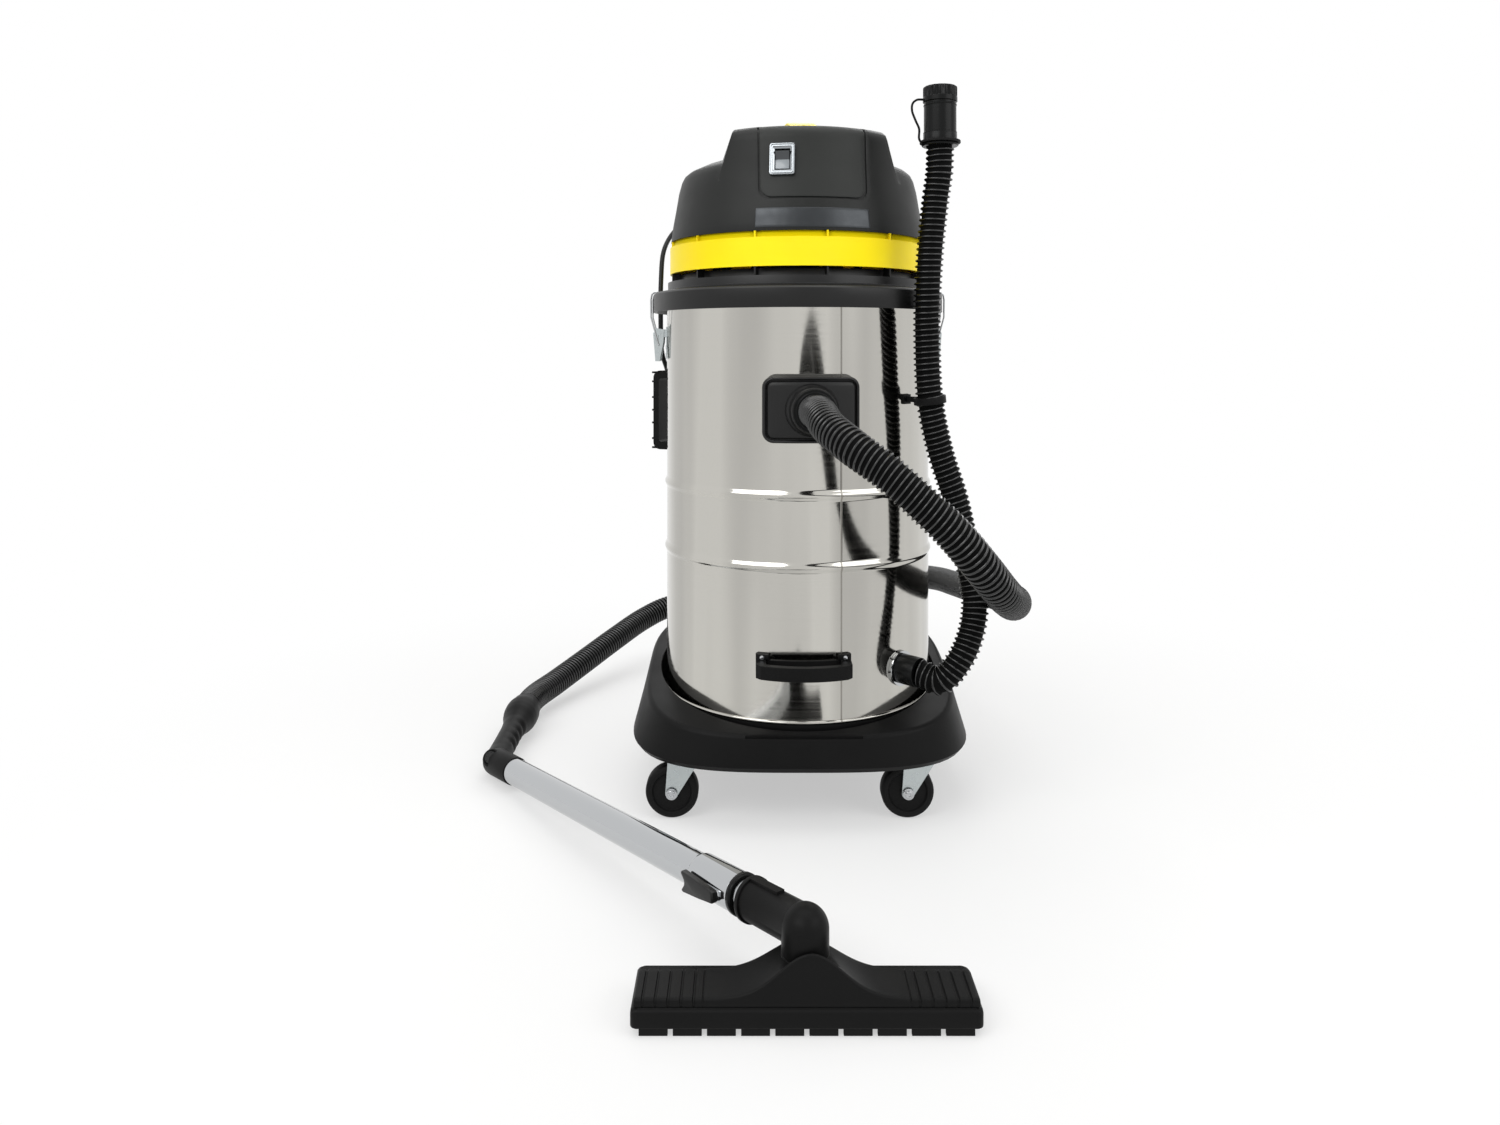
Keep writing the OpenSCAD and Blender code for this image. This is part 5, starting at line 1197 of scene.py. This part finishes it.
class VACUUM_OT_axle_ends(bpy.types.Operator):
    """Make the turned washers and rivet heads on both ends of each caster's axle"""
    bl_idname = "vacuum.axle_ends"
    bl_label = "Axle ends"

    def execute(self, context):
        head = [(r, z + FORK_FACE) for r, z in ((7.9, -0.2), (7.9, 0.5), (7.4, 0.8), (5.6, 0.9), (5.3, 1.5),
                                                (4.7, 2.0), (3.6, 2.2), (3.0, 1.9), (2.7, 0.9), (0.05, 0.7))]
        joints = {joint["name"]: joint for joint in frame["joints"]}
        for corner in ("fl", "fr", "rl", "rr"):
            at = Matrix.Translation(joints["roll_" + corner]["pos_m"])
            ends = [lathe(head, 40, at @ Matrix.Rotation(turn, 4, "X")) for turn in (math.pi / 2, -math.pi / 2)]
            piece("Axle_ends_" + corner, joined(*ends), "chromed_steel", "fork_" + corner, "zinc_steel", sharp=35)
        return {"FINISHED"}


class VACUUM_OT_head_plate(bpy.types.Operator):
    """Make the plain anodised plate that lies on the cover under the switch panel"""
    bl_idname = "vacuum.head_plate"
    bl_label = "Head plate"

    def execute(self, context):
        cover = NODES["cover"]
        surface = BVHTree.FromObject(cover, context.evaluated_depsgraph_get())
        inward = cover.matrix_world.inverted()

        def reach(angle, z):
            """Distance of the cover's surface from the axis."""
            way = Vector((math.sin(angle), -math.cos(angle), 0))
            start = way * 0.4 + Vector((0, 0, z))
            hit = surface.ray_cast(inward @ start, inward.to_3x3() @ -way)[0]
            if hit is None:
                raise RuntimeError("The cover's surface was not met under the head plate")
            return (cover.matrix_world @ hit - Vector((0, 0, z))).length

        # Distance in from the edge, and height above the cover, of the lines along each edge
        edge = [(0.0, -0.3), (0.0, 0.5), (0.25, 0.75), (0.7, PLATE_RISE)]
        flat = PLATE_TO - PLATE_FROM - 2
        turns = [(PLATE_FROM + d / DEGREE, h) for d, h in edge]
        turns += [(PLATE_FROM + 1 + flat * k / 40, PLATE_RISE) for k in range(41)]
        turns += [(PLATE_TO - d / DEGREE, h) for d, h in reversed(edge)]
        levels = [(PLATE_FOOT + d, h) for d, h in edge] + [(PLATE_FOOT + 4 * k, PLATE_RISE) for k in range(1, 7)]
        levels += [(PLATE_TOP - d, h) for d, h in reversed(edge)]
        verts = []
        for angle, out in turns:
            a = math.radians(angle)
            for z, rise in levels:
                r = reach(a, z * MM) + min(out, rise) * MM
                verts.append(Vector((r * math.sin(a), -r * math.cos(a), z * MM)))
        n = len(levels)
        faces = [(i * n + k, i * n + k + 1, (i + 1) * n + k + 1, (i + 1) * n + k)
                 for i in range(len(turns) - 1) for k in range(n - 1)]
        piece("Head_plate", (verts, faces), "anodised_aluminium", "vacuum", "aluminium", sharp=35)
        return {"FINISHED"}


# ---- Switch on the head ----

HEAD_TURN, SWITCH_TURN, SWITCH_Z, SWITCH_R, SWITCH_LEAN = 5.0, -14.0, 932.0, 183.05, 7.4
ROCKER_PIVOT, ROCKER_REST = 5.0, 8.0
# How deep the rocker's face is hollowed, at the height given second
HOLLOW, HOLLOW_Z = 2.0, 12.2
MARK_UP, MARK_DOWN, MARK_THICK = (7.4, -6.12), (-7.2, -6.08), 0.5


def switch_place():
    return (turned(HEAD_TURN + SWITCH_TURN, SWITCH_Z) @ Matrix.Translation((0, -SWITCH_R * MM, 0))
            @ Matrix.Rotation(math.radians(-SWITCH_LEAN), 4, "X"))


class VACUUM_OT_switch(bpy.types.Operator):
    """Make the switch's bezel and its two-tone rocker with plain marks"""
    bl_idname = "vacuum.switch"
    bl_label = "Switch"

    def execute(self, context):
        place = switch_place()
        # Width, height, corner radius and depth of each line of the bezel, from its outer foot inwards
        lines = [(36.6, 46.4, 4.0, 0.4), (36.6, 46.4, 4.0, -2.6), (36.2, 46.0, 3.9, -3.8), (35.4, 45.2, 3.6, -4.4),
                 (33.6, 43.4, 3.2, -4.5), (33.0, 42.8, 3.0, -4.2), (32.6, 42.4, 2.9, -2.9), (31.2, 41.0, 2.6, -2.9),
                 (30.8, 40.6, 2.5, -4.2), (30.2, 40.0, 2.4, -4.5), (27.6, 37.2, 2.0, -4.5), (27.0, 36.6, 1.9, -4.2),
                 (26.6, 36.2, 1.8, -3.0), (22.4, 31.2, 1.3, -1.4), (21.8, 30.5, 1.1, -0.6), (21.5, 30.1, 1.0, 9.0)]
        bezel = skin([metres((x, y, z) for x, z in round_rect(w, h, r)) for w, h, r, y in lines])
        piece("Switch_bezel", moved(bezel, place), "metallised_abs", "vacuum", "bezel_plastic",
              replaces=("switch_bezel",), sharp=28)

        # Rocker: a hollowed face between two ends, one pressed in
        tilt = (place @ Matrix.Translation((0, ROCKER_PIVOT * MM, 0))
                @ Matrix.Rotation(math.radians(ROCKER_REST), 4, "X"))
        end = [(3.0, 6.0), (0.0, 11.4), (-6.6, 13.0), (-7.3, 12.8), (-7.5, HOLLOW_Z)]
        face = [(-5.5 - HOLLOW * (z / HOLLOW_Z) ** 2, z) for z in (9, 6, 3, 0.4, -0.4, -3, -6, -9)]
        side = [*end, *face, *((y, -z) for y, z in reversed(end))]
        across = [(-10.0, 0.5), (-9.6, 0.12), (-9.0, 0.0), (9.0, 0.0), (9.6, 0.12), (10.0, 0.5)]
        shape = skin([metres((x, y + back if y < -1 else y, z * (1 - back * 0.02)) for y, z in side)
                      for x, back in across], first=True, last=True)
        rocker = piece("Switch_rocker", moved(shape, tilt), "smoked_polycarbonate", "rocker", "rocker_plastic",
                       replaces=("switch_rocker",), sharp=30)
        rocker.data.materials.append(FINISHES["pale_polycarbonate"])
        back = tilt.inverted()
        for polygon in rocker.data.polygons:
            middle = back @ polygon.center
            if middle.z < 0 and middle.y < -5 * MM:
                polygon.material_index = 1

        # Marks: a bar and a ring, printed on the two halves
        def printed(points, centre, depth):
            """The points laid on the rocker's hollow, round a height, at a depth."""
            bend = HOLLOW / HOLLOW_Z ** 2
            return metres((x, depth - bend * ((z + centre) ** 2 - centre ** 2), z + centre) for x, z in points)

        bar = round_rect(1.1, 4.6, 0.4, 3)
        ring = [(2.4 * math.cos(math.tau * k / 28), 2.4 * math.sin(math.tau * k / 28)) for k in range(28)]
        hole = [(x * 0.62, z * 0.62) for x, z in ring]
        back = Vector((0, MARK_THICK * MM, 0))
        line = printed(bar, *MARK_UP)
        outer, inner = printed(ring, *MARK_DOWN), printed(hole, *MARK_DOWN)
        marks = joined(skin([line, [v + back for v in line]], first=True),
                       skin([inner, outer, [v + back for v in outer]]))
        piece("Switch_marks", moved(marks, tilt), "printed_white", "rocker", "white_plastic", sharp=30)
        return {"FINISHED"}


# ---- CAD nodes that keep their shape ----

# Finish of each CAD node that stays, and the width its edges are rounded by, in millimetres
NODE_FINISHES = {
    "black_polypropylene": {"dolly": 1.5, "front_handle": 1.2, "side_handle_left": 0.8, "side_handle_right": 0.8,
                            "tool_neck": 0.8, "float_cage": 0.4, "drain_clip": 0.5},
    "satin_black_polypropylene": {"head_base": 0.9},
    "satin_polypropylene": {"cover": 2.4},
    "grained_polypropylene": {"switch_panel": 1.8},
    "gloss_abs": {"grip_regulator": 0.3, "hose_cuff": 0.8, "drain_cuff": 0.8},
    "yellow_abs": {"vent_band": 0.5, "carry_handle": 2.0},
    "moulded_rubber": {"caster_wheel_fl": 0.6, "caster_wheel_fr": 0.6, "caster_wheel_rl": 0.6,
                       "caster_wheel_rr": 0.6, "tool_lips": 0.4, "head_gasket": 0.8, "mains_plug": 1.0,
                       "cord_gland": 0.6},
    "cast_polyurethane": {"tool_squeegee": 0.4},
    "chromed_steel": {"wand_inner_tube": 0.3, "latch_wire_left": 0.0, "latch_wire_right": 0.0,
                      "drain_fitting": 0.5, "fasteners": 0.3},
    "zinc_plate": {"caster_plates": 0.4, "caster_fork_fl": 0.6, "caster_fork_fr": 0.6, "caster_fork_rl": 0.6,
                   "caster_fork_rr": 0.6, "latch_brackets": 0.3, "latch_lever_left": 0.4,
                   "latch_lever_right": 0.4},
    "stacked_iron": {"motor_frame": 0.5, "motor_bearings": 0.3},
    "enamelled_copper": {"motor_armature": 0.6},
    "pressed_aluminium": {"fan_housing": 0.5, "fan_impeller": 0.3},
    "filter_paper": {"filter_cartridge": 0.8},
    "white_polypropylene": {"float_ball": 0.0},
}


class VACUUM_OT_rigid_nodes(bpy.types.Operator):
    """Give the CAD nodes that stay their finishes and rounded edges"""
    bl_idname = "vacuum.rigid_nodes"
    bl_label = "Rigid nodes"

    def execute(self, context):
        for finish, members in NODE_FINISHES.items():
            for name, width in members.items():
                dress(name, finish)
                if width:
                    soften(name, width * MM)
        even_shading("dolly")
        return {"FINISHED"}




# ---- Panel and registration ----

STEPS = ("stage", "finishes", "connector", "leash", "inlet_plate", "suction_hose", "drain_hose", "mains_lead",
         "drum", "floor_tool", "hose_grip", "wand", "axle_ends", "switch", "head_plate", "rigid_nodes")


class VACUUM_PT_pieces(bpy.types.Panel):
    """Sizes, colours and pieces of the vacuum cleaner"""
    bl_idname = "VACUUM_PT_pieces"
    bl_label = "Wet and dry vacuum cleaner"
    bl_space_type = "VIEW_3D"
    bl_region_type = "UI"
    bl_category = "Vacuum"

    def draw(self, context):
        for holder in (context.scene.vacuum_sizes, context.scene.vacuum_colours):
            box = self.layout.box()
            for name in holder.bl_rna.properties.keys():
                if name not in {"rna_type", "name"}:
                    box.prop(holder, name)
        for step in STEPS:
            self.layout.operator(f"vacuum.{step}")


def own_classes():
    kinds = (bpy.types.PropertyGroup, bpy.types.Operator, bpy.types.Panel)
    return [thing for name, thing in globals().items() if name.startswith("VACUUM_") and issubclass(thing, kinds)]


def register():
    for thing in own_classes():
        bpy.utils.register_class(thing)
    bpy.types.Scene.vacuum_sizes = PointerProperty(type=VACUUM_PG_sizes)
    bpy.types.Scene.vacuum_colours = PointerProperty(type=VACUUM_PG_colours)


def unregister():
    del bpy.types.Scene.vacuum_colours
    del bpy.types.Scene.vacuum_sizes
    for thing in reversed(own_classes()):
        bpy.utils.unregister_class(thing)


def main():
    register()
    for step in STEPS:
        getattr(bpy.ops.vacuum, step)()
    visual = [list(corner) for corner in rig.bounds()]
    with open("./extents.json", "w") as out:
        json.dump({"cad": CAD_BOX, "visual": visual}, out, indent=1)


if __name__ == "__main__":
    main()
